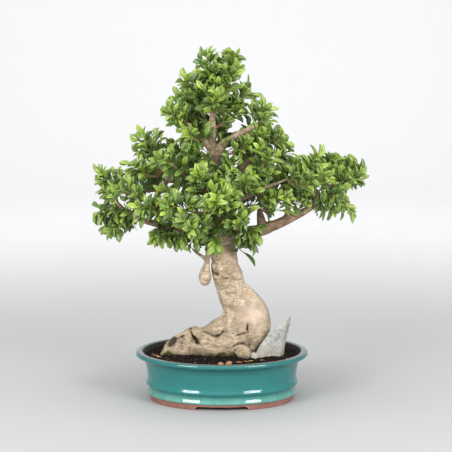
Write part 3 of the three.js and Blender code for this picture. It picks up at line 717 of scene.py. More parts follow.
def prism(name, low, high):
    """Closed prism between two outlines of the same points, with its faces pointing out."""
    count = len(low)
    faces = [list(range(count)), list(range(count, 2 * count))]
    for side in range(count):
        after = (side + 1) % count
        faces.append([side, after, after + count, side + count])
    piece = new_piece(name, [*low, *high], faces)
    shape = bmesh.new()
    shape.from_mesh(piece.data)
    bmesh.ops.recalc_face_normals(shape, faces=shape.faces)
    shape.to_mesh(piece.data)
    shape.free()
    return piece


def half_length_at(places):
    """Half length of the pot's oval through each place, by the rule that its walls follow."""
    low = np.full(len(places), 3.0 * POT_DIFFERENCE)
    high = np.full(len(places), 230.0)
    for _ in range(30):
        middle = (low + high) / 2
        reach = np.hypot(places[:, 0] / middle, places[:, 1] / (middle - POT_DIFFERENCE))
        low = np.where(reach > 1, middle, low)
        high = np.where(reach > 1, high, middle)
    return low


def arch_outline(half_top, half_bottom):
    """Foot arch with rounded shoulders."""
    corners = [(half_bottom, -3), (half_bottom, 0), (half_top, ARCH_TOP), (0, ARCH_TOP)]
    side = rounded(corners, 3.0)
    right = [(x, z) for x, z in side[:-1]]
    return right + [(-x, z) for x, z in right[::-1]]


def arch_knife(name, arch, turned):
    """Prism that cuts one pair of arches through both walls."""
    outline = arch_outline(*arch)
    if turned:
        ends = [[(reach, x, z) for x, z in outline] for reach in (-KNIFE_REACH, KNIFE_REACH)]
    else:
        ends = [[(x, reach, z) for x, z in outline] for reach in (-KNIFE_REACH, KNIFE_REACH)]
    return prism(name, *ends)


def drill(side):
    """Prism that cuts the drain hole on one side."""
    turns = np.linspace(0, 2 * math.pi, 48, endpoint=False)
    ring = [(side * DRAIN_OFFSET + DRAIN_RADIUS * math.cos(t), DRAIN_RADIUS * math.sin(t)) for t in turns]
    return prism(f"drill_{side}", *([(*place, height) for place in ring] for height in DRILL_HEIGHTS))


def cut(piece, knives):
    """Takes the knives' shapes out of a piece, and removes the knives."""
    for knife in knives:
        modifier = piece.modifiers.new("Cut", "BOOLEAN")
        modifier.operation = "DIFFERENCE"
        modifier.solver = "EXACT"
        modifier.object = knife
    baked(piece)
    for knife in knives:
        bpy.data.meshes.remove(knife.data)


def write_pot_zones(mesh):
    """Marks the bare clay, the band's crease, the lip's dark grey top and the inner wall, darkened with
    soil-stained colour and painted shade.
    """
    places = round_pot(coordinates(mesh))
    height = places[:, 2]
    radius = half_length_at(places)
    wave = noise_at(places, 40) * 0.5
    clay = np.clip((GLAZE_END + wave - height) / 0.8 + 0.5, 0, 1)
    clay[(radius < np.interp(height, *BARE_SIDE)) & (height < 97)] = 1
    write_attribute(mesh, "clay", clay)
    crease = np.exp(-((height - BAND_CREASE) / 1.6) ** 2)
    write_attribute(mesh, "crease", crease * (radius > 160))
    write_attribute(mesh, "edge", np.clip((height - 112) / 1.5, 0, 1) * (radius > 181))
    within = radius < np.interp(height, *STAINED_SHADED_SIDE)
    # inner wall above the soil, darkened with soil-stained colour and painted shade
    write_attribute(mesh, "stain", np.clip((113.6 + wave - height) / 1.2, 0, 1) * within * (height > 60))


class BONSAI_OT_pot(bpy.types.Operator):
    """Glazed oval pot with its rolled lip, raised band, feet and drain holes"""

    bl_idname = "bonsai.pot"
    bl_label = "Pot"

    def execute(self, context):
        profile = rounded(POT_OUTSIDE, OUTER_ROUNDING) + rounded(POT_INSIDE, INNER_ROUNDING)
        piece = new_piece("glazed_pot", *oval_turned(profile, POT_SEGMENTS))
        knives = [arch_knife("front_arch", FRONT_ARCH, False), arch_knife("end_arch", END_ARCH, True)]
        cut(piece, [*knives, drill(-1), drill(1)])
        mesh = piece.data
        mesh.materials.clear()
        mesh.materials.append(make_glaze(context.scene.bonsai_colours))
        mesh.shade_smooth()
        mesh.set_sharp_from_angle(angle=math.radians(38))
        write_pot_zones(mesh)
        hand_in(piece, "teal_glaze", "pot")
        return {"FINISHED"}


# Soil

SOIL_PROFILE = [(0, 16.35), (149.7, 16.35), (163.4, 40), (174.2, 98), (176.6, SOIL_EDGE)]
# Heap of soil against the slab, as its middle, its reach along X and Y, and its height.
HEAP_X, HEAP_Y = 126, -66
HEAP_LENGTH, HEAP_WIDTH = 26, 16
HEAP_HEIGHT = 8


def soil_height(x, y):
    """Height of the soil's surface, a low mound with small heaps."""
    reach = math.hypot(x / SOIL_HALF_LENGTH, y / SOIL_HALF_WIDTH)
    mound = SOIL_CROWN - (SOIL_CROWN - SOIL_EDGE) * min(1, reach) ** 2.2
    mound += HEAP_HEIGHT * math.exp(-((x - HEAP_X) / HEAP_LENGTH) ** 2 - ((y - HEAP_Y) / HEAP_WIDTH) ** 2)
    heaps = 1.6 * noise.noise(Vector((x, y, 3)) / 26) + 1.0 * noise.noise(Vector((x, y, 9)) / 9)
    return mound + heaps * min(1, 6 * (1.02 - min(1, reach)))


def make_crumb(name, seed, sides=7):
    """Lump with a few dozen faces, one unit across."""
    sphere = []
    levels = 4
    for level in range(1, levels):
        tilt = math.pi * level / levels
        for side in range(sides):
            turn = 2 * math.pi * (side + 0.5 * level) / sides
            flat = math.sin(tilt)
            sphere.append((flat * math.cos(turn), flat * math.sin(turn), math.cos(tilt)))
    sphere += [(0, 0, 1), (0, 0, -1)]
    points = np.array(sphere)
    lumps = 1 + 0.38 * noise_at(points, 0.9, seed)
    points = points * lumps[:, None] * np.array([0.5, 0.42, 0.36])
    faces = []
    top, bottom = len(points) - 2, len(points) - 1
    for side in range(sides):
        after = (side + 1) % sides
        faces.append((top, side, after))
        for level in range(levels - 2):
            low = level * sides
            faces.append((low + side, low + sides + side, low + sides + after, low + after))
        last = (levels - 2) * sides
        faces.append((bottom, last + after, last + side))
    mesh = bpy.data.meshes.new(name)
    mesh.from_pydata(points.tolist(), [], faces)
    mesh.shade_flat()
    return bpy.data.objects.new(name, mesh)


def scatter_tree(name, inputs):
    """Geometry Nodes tree with named inputs, for instances on points that end as a real mesh."""
    tree = bpy.data.node_groups.new(name, "GeometryNodeTree")
    tree.interface.new_socket("Geometry", in_out="INPUT", socket_type="NodeSocketGeometry")
    for socket_name, kind, default in inputs:
        socket = tree.interface.new_socket(socket_name, in_out="INPUT", socket_type=kind)
        if default is not None:
            socket.default_value = default
    tree.interface.new_socket("Geometry", in_out="OUTPUT", socket_type="NodeSocketGeometry")
    tree.is_modifier = True
    shader = Shader(tree)
    return shader, shader.add("NodeGroupInput").outputs, shader.add("NodeGroupOutput").inputs


def named(nodes, name, kind):
    node = nodes.add("GeometryNodeInputNamedAttribute", {"Name": name}, data_type=kind)
    return node.outputs["Attribute"]


def make_scatter():
    """Instances of a collection's pieces on points, turned and sized by the points' attributes."""
    nodes, given, out = scatter_tree("Scatter", [
        ("Pieces", "NodeSocketCollection", None), ("Length", "NodeSocketFloat", 0.01),
        ("Width", "NodeSocketFloat", 0.01), ("Material", "NodeSocketMaterial", None)])
    pieces = nodes.add(
        "GeometryNodeCollectionInfo", {"Collection": given["Pieces"], "Separate Children": True,
                                       "Reset Children": True})
    turn = nodes.add(
        "FunctionNodeAxesToRotation",
        {"Primary Axis": named(nodes, "along", "FLOAT_VECTOR"),
         "Secondary Axis": named(nodes, "up", "FLOAT_VECTOR")},
        primary_axis="X", secondary_axis="Z")
    size = nodes.add("ShaderNodeCombineXYZ", {"X": given["Length"], "Y": given["Width"],
                                              "Z": given["Length"]})
    scale = nodes.add("ShaderNodeVectorMath", operation="SCALE")
    nodes.wire(scale.inputs[0], size.outputs[0])
    nodes.wire(scale.inputs["Scale"], named(nodes, "size", "FLOAT"))
    placed = nodes.add(
        "GeometryNodeInstanceOnPoints",
        {"Points": given["Geometry"], "Instance": pieces.outputs["Instances"], "Pick Instance": True,
         "Instance Index": named(nodes, "form", "INT"), "Rotation": turn.outputs[0],
         "Scale": scale.outputs[0]})
    real = nodes.add("GeometryNodeRealizeInstances", {"Geometry": placed.outputs["Instances"]})
    done = nodes.add("GeometryNodeSetMaterial",
                     {"Geometry": real.outputs["Geometry"], "Material": given["Material"]})
    nodes.wire(out["Geometry"], done.outputs["Geometry"])


def scatter(name, forms, places, along, up, size, form, length, width, material, extra):
    """Real mesh of many copies of a few forms. Places are millimetres round the pot's middle."""
    mesh = bpy.data.meshes.new(name)
    mesh.from_pydata(in_frame(places).tolist(), [], [])
    write_attribute(mesh, "along", along, "FLOAT_VECTOR")
    write_attribute(mesh, "up", up, "FLOAT_VECTOR")
    write_attribute(mesh, "size", size)
    layer = mesh.attributes.new("form", "INT", "POINT")
    layer.data.foreach_set("value", np.asarray(form, int))
    for key, values in extra.items():
        write_attribute(mesh, key, values)
    piece = new_object(name, mesh)
    modifier = piece.modifiers.new("Scatter", "NODES")
    modifier.node_group = bpy.data.node_groups["Scatter"]
    given = {"Pieces": forms, "Length": length, "Width": width, "Material": material}
    for item in modifier.node_group.interface.items_tree:
        if item.item_type == "SOCKET" and item.in_out == "INPUT" and item.name in given:
            modifier[item.identifier] = given[item.name]
    baked(piece)
    for key in ("along", "up", "size", "form"):
        layer = piece.data.attributes.get(key)
        if layer is not None:
            piece.data.attributes.remove(layer)
    if len(piece.data.polygons) == 0:
        raise RuntimeError(f"{name} came out empty")
    return piece


def form_collection(name, objects):
    collection = bpy.data.collections.new(name)
    for form in objects:
        collection.objects.link(form)
    return collection


def soil_bed_mesh():
    """Points and faces of the bed, with its top on the soil's surface."""
    rings = [(radius, SOIL_EDGE) for radius in np.linspace(174.5, 3, 58)]
    points, faces = oval_turned(SOIL_PROFILE + rings + [(0, SOIL_EDGE)], 160)
    points = np.array(points)
    top = points[:, 2] >= SOIL_EDGE - 0.01
    points[top, 2] = [soil_height(x, y) for x, y, _ in points[top]]
    return points, faces


def make_crumbs(sizes, material):
    """Crumbs of uneven size on the soil, each turned at random."""
    random = np.random.default_rng(7)
    count = sizes.crumbs
    turn = random.uniform(0, 2 * math.pi, count)
    reach = np.sqrt(random.uniform(0, 1, count))
    x = (SOIL_HALF_LENGTH - 3) * reach * np.cos(turn)
    y = (SOIL_HALF_WIDTH - 3) * reach * np.sin(turn)
    size = 0.3 + 0.7 * random.uniform(0, 1, count) ** 2.5
    z = np.array([soil_height(a, b) for a, b in zip(x, y)]) - 0.3 + size
    along = random.normal(0, 1, (count, 3))
    up = random.normal(0, 1, (count, 3))
    forms = form_collection("crumb_forms", [make_crumb(f"crumb_{k}", k) for k in range(4)])
    return scatter(
        "soil_crumbs", forms, np.column_stack([x, y, z]), along, up, size,
        random.integers(0, 4, count), sizes.crumb, sizes.crumb, material,
        {"tone": random.uniform(0, 1, count)})


class BONSAI_OT_soil(bpy.types.Operator):
    """Bed of soil with a crumbly top"""

    bl_idname = "bonsai.soil"
    bl_label = "Soil"

    def execute(self, context):
        material = make_soil_material(context.scene.bonsai_colours)
        bed = new_piece("soil_bed", *soil_bed_mesh(), material)
        write_attribute(bed.data, "tone", np.zeros(len(bed.data.vertices)))
        hand_in(bed, "potting_soil", "soil")
        hand_in(make_crumbs(context.scene.bonsai_sizes, material), "potting_soil")
        return {"FINISHED"}


# Wood

TRUNK = [
    (14, 4, 82, 42), (22, 4, 106, 52), (34, 4, 127, 54), (46, 5, 149, 56), (55, 5, 166, 58.5),
    (57, 5, 180, 58.5), (55, 6, 198, 53.5), (48, 6, 215, 47), (37, 6, 232, 42), (24, 5, 250, 37),
    (18, 5, 268, 34.5), (14, 5, 284, 35.5), (9, 4, 298, 34), (6, 4, 312, 32), (5, 4, 326, 30.5),
    (2, 3, 346, 31.5), (-1, 2, 368, 30), (-2, 2, 392, 29), (-4, 2, 420, 26.5), (-6, 2, 455, 24),
    (-9, 2, 490, 21.5), (-11, 2, 525, 19.5), (-14, 2, 555, 18), (-20, 2, 584, 13),
]
TRUNK_DEPTH = 0.88
ROOTS = [
    # upper ridge, from the knee down to the left
    [(44, 4, 200, 34), (10, -4, 172, 27), (-16, -8, 162, 22), (-36, -12, 154, 18), (-54, -14, 152, 19),
     (-66, -14, 152, 15), (-74, -14, 152, 9)],
    # lower mass in front of it
    [(50, -14, 140, 41), (12, -22, 129, 29), (-26, -22, 125, 26), (-58, -18, 120, 22),
     (-92, -12, 116, 18), (-118, -8, 107, 12.5), (-136, -6, 96, 8)],
    # thin ridge that loops over the deep pit at the left end
    [(-56, 6, 158, 12), (-76, 4, 156, 8.5), (-91, 0, 147, 7.5), (-105, -4, 140, 7), (-119, -8, 130, 6.5),
     (-130, -12, 119, 6.5), (-135, -16, 108, 6.5), (-134, -20, 96, 6.5)],
    # knob in front
    [(30, -24, 122, 24), (44, -38, 120, 17), (51, -50, 116, 16), (52, -54, 104, 13.5)],
    # back roots
    [(20, 20, 150, 34), (-16, 52, 126, 20), (-44, 76, 110, 14), (-66, 92, 94, 8)],
    [(56, 20, 150, 34), (86, 48, 122, 18), (106, 66, 106, 12), (120, 78, 90, 7)],
]
SWELLINGS = [
    ((-80, -15, 138), (12, 13, 21), 0.25),
    ((-97, -7, 128), (13, 11, 18), 0.5),
    ((-46, 2, 140), (30, 17, 21), 0),
]
BRANCHES = [
    # long low branch to the right, with its spurs
    [(-2, 0, 400, 22), (33, -4, 396, 16), (60, -8, 395, 13.5), (83, -12, 397, 14), (104, -16, 405, 14),
     (124, -18, 413, 12), (145, -20, 423, 11), (167, -22, 434, 9.5), (188, -22, 444, 8),
     (206, -20, 455, 7), (222, -18, 470, 6), (238, -14, 486, 5), (252, -10, 506, 3.6)],
    [(92, -14, 408, 11), (89, -14, 432, 9), (84, -16, 452, 4)],
    [(148, -20, 424, 9), (152, -20, 446, 6), (158, -18, 474, 3)],
    [(211, -20, 456, 5), (214, -22, 486, 4), (212, -24, 512, 2.6)],
    # long low branch to the left
    [(0, 0, 372, 20), (-18, -6, 380, 14), (-50, -12, 388, 12), (-96, -20, 400, 10.5),
     (-141, -28, 414, 8.5), (-175, -32, 424, 7), (-205, -32, 438, 5.5), (-232, -28, 456, 4),
     (-250, -24, 480, 3)],
    # second branch on the left
    [(-8, 2, 474, 15), (-50, 8, 494, 10.5), (-96, 14, 512, 8.5), (-142, 18, 532, 6),
     (-160, 16, 552, 3.5)],
    # small branch under the top, to the left
    [(-16, 2, 574, 11), (-38, -2, 599, 6.5), (-61, -4, 622, 4.6), (-80, -8, 640, 3.2)],
    # leader to the top
    [(-16, 2, 560, 15), (-24, 2, 596, 11), (-22, 2, 640, 9), (-18, 0, 690, 6.5), (-19, 0, 732, 4)],
    # branch under the top, to the right
    [(-14, 2, 568, 14), (5, -8, 598, 10), (26, -14, 612, 9), (41, -20, 622, 8), (68, -28, 636, 5),
     (84, -28, 646, 3)],
    # second branches on the right
    [(-6, 4, 462, 16), (19, 12, 498, 11.5), (37, 20, 529, 10.5), (60, 26, 554, 8), (88, 30, 570, 5),
     (120, 28, 572, 3)],
    [(-4, 0, 446, 15), (42, -16, 474, 9.5), (78, -28, 490, 7), (112, -34, 506, 4.5), (150, -30, 520, 3)],
    # branches to the front
    [(-4, -4, 414, 17), (-34, -62, 440, 9.5), (-56, -100, 452, 6), (-70, -112, 462, 3.4)],
    [(0, -4, 428, 16), (14, -56, 458, 9), (20, -100, 470, 5.5), (10, -128, 478, 3.2)],
    # branches to the back
    [(-4, 4, 436, 17), (19, 76, 446, 10), (40, 128, 458, 6.5), (54, 150, 468, 3.4)],
    [(-10, 4, 494, 14), (-39, 76, 500, 9), (-62, 120, 508, 6), (-76, 138, 514, 3.4)],
    [(-16, 4, 562, 12), (-18, 50, 584, 7.5), (-8, 84, 592, 4)],
]
HANGING_STUB = [
    (-4, 0, 364, 16), (-24, -10, 366, 8), (-31, -12, 350, 5.6), (-33, -14, 328, 5.8),
    (-36, -15, 312, 9), (-39, -16, 296, 14.5), (-38, -16, 281, 13.5), (-37, -16, 273, 8),
]
STUB_BRANCHLET = [(-34, -14, 330, 6), (-44, -18, 338, 4.6), (-62, -24, 352, 3.2), (-74, -30, 366, 2.4)]

# Folds of the front, as x and z along each, then the fold's half width and depth, how far its right
# hand side stands out over the left one, and how far that swelling reaches.
FOLDS = [
    ([(-76, 166), (-71, 159), (-67, 150), (-61, 141), (-52, 136.5), (-42, 138)], 2.4, 8, 5, 16),
    ([(-48, 167), (-38, 162), (-28, 156), (-18, 152.5), (-7, 153), (2, 160), (7, 170)], 1.6, 3, 4, 16),
    ([(56, 186), (58.5, 181), (57, 175), (60, 169), (57, 164)], 1.6, 5.5, 1, 6),
    ([(57, 167), (46, 164), (34, 160)], 1.6, 2.4, 1.5, 9),
    ([(25, 160), (36, 158), (48, 160), (57, 167)], 1.3, 1.8, 1.5, 8),
    ([(-26, 302), (-17, 297), (-6, 293)], 4.5, 9, 3, 12),
    ([(-6, 293), (6, 288), (18, 290)], 1.8, 2.2, 1, 8),
    ([(-86, 152), (-98, 145), (-108, 139)], 1.8, 5, 0, 6),
    ([(-92, 138), (-95, 128), (-92, 118)], 2.2, 2.6, 2, 10),
    ([(-72, 132), (-76, 124), (-75, 114)], 1.8, 2.4, 2, 10),
    ([(24, 128), (30, 134), (40, 138), (54, 137), (64, 130)], 2.4, 5, 0, 9),
    ([(30, 128), (29, 120), (31, 112)], 2.0, 3.5, 0, 6),
    ([(-30, 132), (-12, 128), (2, 131), (14, 127)], 2.2, 1.6, 1.5, 12),
]
# Hollows of the front, as x and z of the middle, half sizes, tilt and depth.
PITS = [
    ((-114.5, 134), (14.5, 6.8), 0.84, 11.5),
    ((-62, 147), (9, 4.2), -0.95, 7),
    ((-10, 154.5), (5, 2), 0.3, 4),
    ((57.8, 174), (2.4, 4.5), 0.1, 5),
    ((-57, 138), (6, 2.6), -0.2, 4),
]
# Rings round the trunk, as height, width and depth, and how far out they reach.
TRUNK_RINGS = [(366, 2.5, 1.6), (344, 2.2, 1.0), (322, 2.4, 1.1), (286, 2.6, 1.3), (262, 2.2, 0.9)]
RING_REACH = 52
# Places of moss on the wood, as x, y, z, reach and how thick it is.
MOSS_SPOTS = [
    (-127, -22, 107, 13, 1), (-112, -26, 105, 10, 0.9), (24, -52, 111, 13, 1), (0, -46, 110, 13, 1),
    (-22, -46, 108, 11, 0.9), (-46, -44, 107, 9, 0.7), (-66, -25, 166, 14, 0.42),
    (-48, -22, 168, 12, 0.42), (40, 52, 118, 18, 1), (-20, 60, 116, 14, 0.8), (96, 30, 112, 12, 0.8),
]
MOSS_THICK = 0.45
# Smooth skin over the knee, as its middle and half sizes.
KNEE_SKIN = np.array([72, -40, 208])
KNEE_REACH = np.array([34, 40, 34])


def spline(controls, spacing):
    """Close points on a centripetal curve through control points of x, y, z and radius."""
    given = np.array(controls, float)
    given = np.vstack([2 * given[0] - given[1], given, 2 * given[-1] - given[-2]])
    out = []
    for start in range(len(given) - 3):
        a, b, c, d = given[start:start + 4]
        gaps = [math.sqrt(max(math.dist(p[:3], q[:3]), 0.01)) for p, q in ((a, b), (b, c), (c, d))]
        k0, k1, k2, k3 = 0.0, gaps[0], gaps[0] + gaps[1], sum(gaps)
        steps = max(2, math.ceil(gaps[1] ** 2 / spacing))
        for knot in np.linspace(k1, k2, steps, endpoint=False):
            ab = (a * (k1 - knot) + b * (knot - k0)) / (k1 - k0)
            bc = (b * (k2 - knot) + c * (knot - k1)) / (k2 - k1)
            cd = (c * (k3 - knot) + d * (knot - k2)) / (k3 - k2)
            abc = (ab * (k2 - knot) + bc * (knot - k0)) / (k2 - k0)
            bcd = (bc * (k3 - knot) + cd * (knot - k1)) / (k3 - k1)
            out.append((abc * (k2 - knot) + bcd * (knot - k1)) / (k2 - k1))
    out.append(given[-2])
    return np.array(out)


def loft(controls, sides, spacing, depth=1.0, lobes=0.0, ends=(0.5, 0.5)):
    """Closed stem through control points, with uneven lobes and rounded ends."""
    line = spline(controls, spacing)
    centres = line[:, :3]
    tangents = np.gradient(centres, axis=0)
    normal = np.array([0.31, -0.94, 0.12])
    points = []
    for level, (centre, tangent) in enumerate(zip(centres, tangents)):
        tangent = unit(tangent)
        normal = unit(normal - tangent * normal.dot(tangent))
        across = np.cross(tangent, normal)
        radius = line[level, 3]
        phase = level * spacing / 24
        for side in range(sides):
            turn = 2 * math.pi * side / sides
            waves = math.sin(3 * turn + 0.35 * phase) + 0.6 * math.sin(5 * turn - 0.5 * phase)
            swell = 1 + lobes * waves
            offset = (normal * math.cos(turn) + across * math.sin(turn)) * radius * swell
            offset[1] *= depth
            points.append(centre + offset)
    count = len(centres)
    faces = []
    for level in range(count - 1):
        for side in range(sides):
            after = (side + 1) % sides
            low = level * sides
            faces.append((low + side, low + after, low + sides + after, low + sides + side))
    points.append(centres[0] - unit(tangents[0]) * line[0, 3] * ends[0])
    points.append(centres[-1] + unit(tangents[-1]) * line[-1, 3] * ends[1])
    first, last, top = len(points) - 2, len(points) - 1, (count - 1) * sides
    for side in range(sides):
        after = (side + 1) % sides
        faces.append((first, after, side))
        faces.append((last, top + side, top + after))
    return points, faces


def egg(middle, half_sizes, tilt, sides=28):
    """Closed egg, turned about Y."""
    points = []
    levels = 16
    for level in range(1, levels):
        fall = math.pi * level / levels
        for side in range(sides):
            turn = 2 * math.pi * side / sides
            flat = math.sin(fall)
            points.append((flat * math.cos(turn), flat * math.sin(turn), math.cos(fall)))
    points += [(0, 0, 1), (0, 0, -1)]
    turned = Matrix.Rotation(tilt, 3, "Y")
    points = [turned @ Vector(np.array(point) * half_sizes) + Vector(middle) for point in points]
    faces = []
    for side in range(sides):
        after = (side + 1) % sides
        faces.append((len(points) - 2, side, after))
        for level in range(levels - 2):
            low = level * sides
            faces.append((low + side, low + sides + side, low + sides + after, low + after))
        low = (levels - 2) * sides
        faces.append((len(points) - 1, low + after, low + side))
    return [tuple(point) for point in points], faces


def neighbours(mesh):
    pairs = np.empty(2 * len(mesh.edges), int)
    mesh.edges.foreach_get("vertices", pairs)
    return pairs.reshape(-1, 2)


def averaged(values, pairs, counts):
    """Mean of each point's neighbours."""
    total = np.empty_like(values)
    both = np.concatenate([pairs[:, 0], pairs[:, 1]])
    other = np.concatenate([pairs[:, 1], pairs[:, 0]])
    for axis in range(values.shape[1]):
        total[:, axis] = np.bincount(both, values[other, axis], len(values))
    return total / counts[:, None]


def relaxed(places, pairs, rounds, weight):
    """Smooths places by their neighbours, more where the weight is high."""
    counts = np.bincount(pairs.ravel(), minlength=len(places))
    for _ in range(rounds):
        places = places + (averaged(places, pairs, counts) - places) * weight[:, None]
    return places


def beside(flat, line, reach):
    """Distance of flat places to a line, at most the reach, their side of it and share along it."""
    gap = np.full(len(flat), float(reach))
    side = np.ones(len(flat))
    share = np.zeros(len(flat))
    near = ((flat > line.min(axis=0) - reach) & (flat < line.max(axis=0) + reach)).all(axis=1)
    chosen = np.nonzero(near)[0]
    steps = np.gradient(line, axis=0)
    for part in np.array_split(chosen, max(1, len(chosen) // 20000)):
        offsets = flat[part][:, None, :] - line[None, :, :]
        distances = np.linalg.norm(offsets, axis=2)
        nearest = distances.argmin(axis=1)
        rows = np.arange(len(part))
        gap[part] = np.minimum(reach, distances[rows, nearest])
        offset, step = offsets[rows, nearest], steps[nearest]
        side[part] = np.sign(offset[:, 0] * step[:, 1] - offset[:, 1] * step[:, 0])
        share[part] = nearest / (len(line) - 1)
    return gap, side, share


def make_moss_blade(name, lean):
    """Blade of moss one unit long, along X from its root, leaning over to its side."""
    points = []
    for reach, half in ((-0.1, 0.1), (0.5, 0.085)):
        bend = lean * reach ** 2
        points += [(reach, bend + side * half, -0.6 * half) for side in (-1, 1)]
        points.append((reach, bend, half))
    points.append((1.0, lean, 0.0))
    faces = [(2, 1, 0), (0, 1, 4, 3), (1, 2, 5, 4), (2, 0, 3, 5), (3, 4, 6), (4, 5, 6), (5, 3, 6)]
    mesh = bpy.data.meshes.new(name)
    mesh.from_pydata(points, [], faces)
    return bpy.data.objects.new(name, mesh)


def grown_wood(sizes, material):
    """Trunk, roots and branches grown together, smoothest low down, with its edges and places."""
    stems = [loft(TRUNK, 48, 5, TRUNK_DEPTH, 0.025)]
    stems += [loft(root, 32, 4, lobes=0.03) for root in ROOTS]
    stems += [egg(*swelling) for swelling in SWELLINGS]
    stems += [loft(branch, 20, 4, lobes=0.03) for branch in BRANCHES]
    stems += [loft(HANGING_STUB, 24, 3, lobes=0.03), loft(STUB_BRANCHLET, 12, 3)]
    piece = remeshed(new_piece("bonsai_trunk", *joined(stems), material), sizes.wood_voxel / MM)
    mesh = piece.data
    mesh.shade_smooth()
    pairs = neighbours(mesh)
    places = round_pot(coordinates(mesh))
    low_wood = np.clip((CROWN_FOOT - places[:, 2]) / 60, 0, 1)
    places = relaxed(places, pairs, 6, 0.25 + 0.25 * low_wood)
    set_coordinates(mesh, in_frame(places))
    return piece, pairs, places


def bark_relief(places, height):
    """How far the bark's lumps, wrinkles and bumps stand out, and where its skin is smooth."""
    thick = np.where(places[:, 2] < ROUGH_BARK_TOP, 1, 0.45)
    roots = np.clip((170 - places[:, 2]) / 40, 0, 1)
    lumps = (1.9 + roots) * noise_at(places, 46, 1) + (1.0 + 0.9 * roots) * noise_at(places, 17, 2)
    wrinkles = noise_at(places, 13, 3, (0.55, 0.55, 2.4))
    bumps = noise_at(places, 6.5, 4)
    skin_gap = np.linalg.norm((places - KNEE_SKIN) / KNEE_REACH, axis=1)
    smooth = np.clip(1.5 - skin_gap, 0, 1)
    return height * thick * (lumps + (1 - 0.75 * smooth) * (0.75 * wrinkles + 0.75 * bumps)), smooth


def folds_and_pits(places):
    """How far the front's folds and pits go in, and how much painted shade they get."""
    flat = places[:, [0, 2]]
    inwards = np.zeros(len(places))
    hollow = np.zeros(len(places))
    fold_noise = noise_at(places, 11, 7)
    uneven = 1 + 0.45 * fold_noise
    for line, width, depth, lift, reach in FOLDS:
        path = spline([(x, z, 0, 1) for x, z in line], 1.5)[:, :2]
        gap, side, share = beside(flat, path, 3 * reach)
        fade = np.clip(5 * np.minimum(share, 1 - share), 0, 1) ** 0.5
        wall = np.where(side > 0, 0.8 * width, 2.1 * width) * uneven
        cut_in = np.exp(-(gap / wall) ** 2) * fade
        valley = np.exp(-(gap / (0.5 * reach)) ** 2) * (side < 0)
        raised = np.clip(gap / width, 0, 1) * np.exp(-(gap / reach) ** 2) * (side > 0)
        inwards += depth * (cut_in + 0.3 * valley) - lift * raised
        # painted shade along the fold, darker where the fold is deeper
        dark = np.exp(-(gap / (0.85 * width * uneven)) ** 2) * fade * min(1, depth / 7)
        hollow = np.maximum(hollow, dark * np.clip(0.75 + 0.6 * fold_noise, 0, 1))
    for (x, z), (half_long, half_short), tilt, depth in PITS:
        dx, dz = flat[:, 0] - x, flat[:, 1] - z
        long_way = (dx * math.cos(tilt) + dz * math.sin(tilt)) / half_long
        short_way = (dz * math.cos(tilt) - dx * math.sin(tilt)) / half_short
        away = np.hypot(long_way, short_way)
        inside = np.exp(-away ** 4)
        rim = np.exp(-((away - 1.45) / 0.3) ** 2)
        inwards += depth * (inside - 0.24 * rim)
        # painted shade inside the pit
        hollow = np.maximum(hollow, np.clip(1.35 * inside - 0.1, 0, 1))
    return inwards, hollow


def ringed(places, push, hollow):
    """Relief, and painted shade in the rings round the trunk."""
    on_trunk = np.linalg.norm(places[:, :2], axis=1) < RING_REACH
    for height, width, depth in TRUNK_RINGS:
        level = height + 7 * noise_at(places * np.array([1, 1, 0]), 30, height)
        ring = np.exp(-((places[:, 2] - level) / width) ** 2) * on_trunk
        push = push - depth * ring
        hollow = np.maximum(hollow, 0.42 * ring)
    return push, hollow


def sunken(mesh, places, pairs):
    """How deep each place lies under its surroundings, for painted shade in the folds."""
    counts = np.bincount(pairs.ravel(), minlength=len(places))
    blurred = places
    for _ in range(10):
        blurred = averaged(blurred, pairs, counts)
    depth = ((blurred - places) * normals(mesh)).sum(axis=1)
    return np.clip((depth - 0.35) / 1.6, 0, 0.8)


def mossy(places):
    """How thick the moss is on each place."""
    moss = np.zeros(len(places))
    for *middle, reach, thickness in MOSS_SPOTS:
        away = np.linalg.norm(places - middle, axis=1) / reach
        moss = np.maximum(moss, thickness * np.exp(-away ** 2))
    return moss * np.clip(0.8 + 0.8 * noise_at(places, 9, 12), 0, 1)


def branch_bark_and_shade(places):
    """Share of the branches' browner bark and painted shade under the crown: most on the low branches,
    half of that high up, some on all wood high up and none on the trunk low down.
    """
    off_trunk = np.clip((np.hypot(places[:, 0] + 5, places[:, 1] - 2) - 32) / 24, 0, 1)
    high = np.clip((places[:, 2] - 430) / 50, 0, 1)
    branches = 0.95 * off_trunk * (places[:, 2] > BRANCHES_FOOT) * (1 - 0.5 * high)
    return np.maximum(0.44 * high, branches)


def make_tufts(mesh, places, growing, settings, sizes):
    """Blades of moss that stand off the bark where it grows thick."""
    random = np.random.default_rng(3)
    chosen = random.choice(growing, sizes.moss_blades)
    count = len(chosen)
    along = normals(mesh)[chosen] + [0, 0, 0.5] + random.normal(0, 0.45, (count, 3))
    forms = form_collection("moss_forms", [make_moss_blade(f"moss_{k}", 0.25 * k) for k in range(3)])
    return scatter(
        "moss_tufts", forms, places[chosen], along, random.normal(0, 1, (count, 3)),
        random.uniform(0.5, 1, count), random.integers(0, 3, count), sizes.moss_length,
        sizes.moss_length, make_moss_material(settings), {"tone": random.uniform(0, 1, count)})


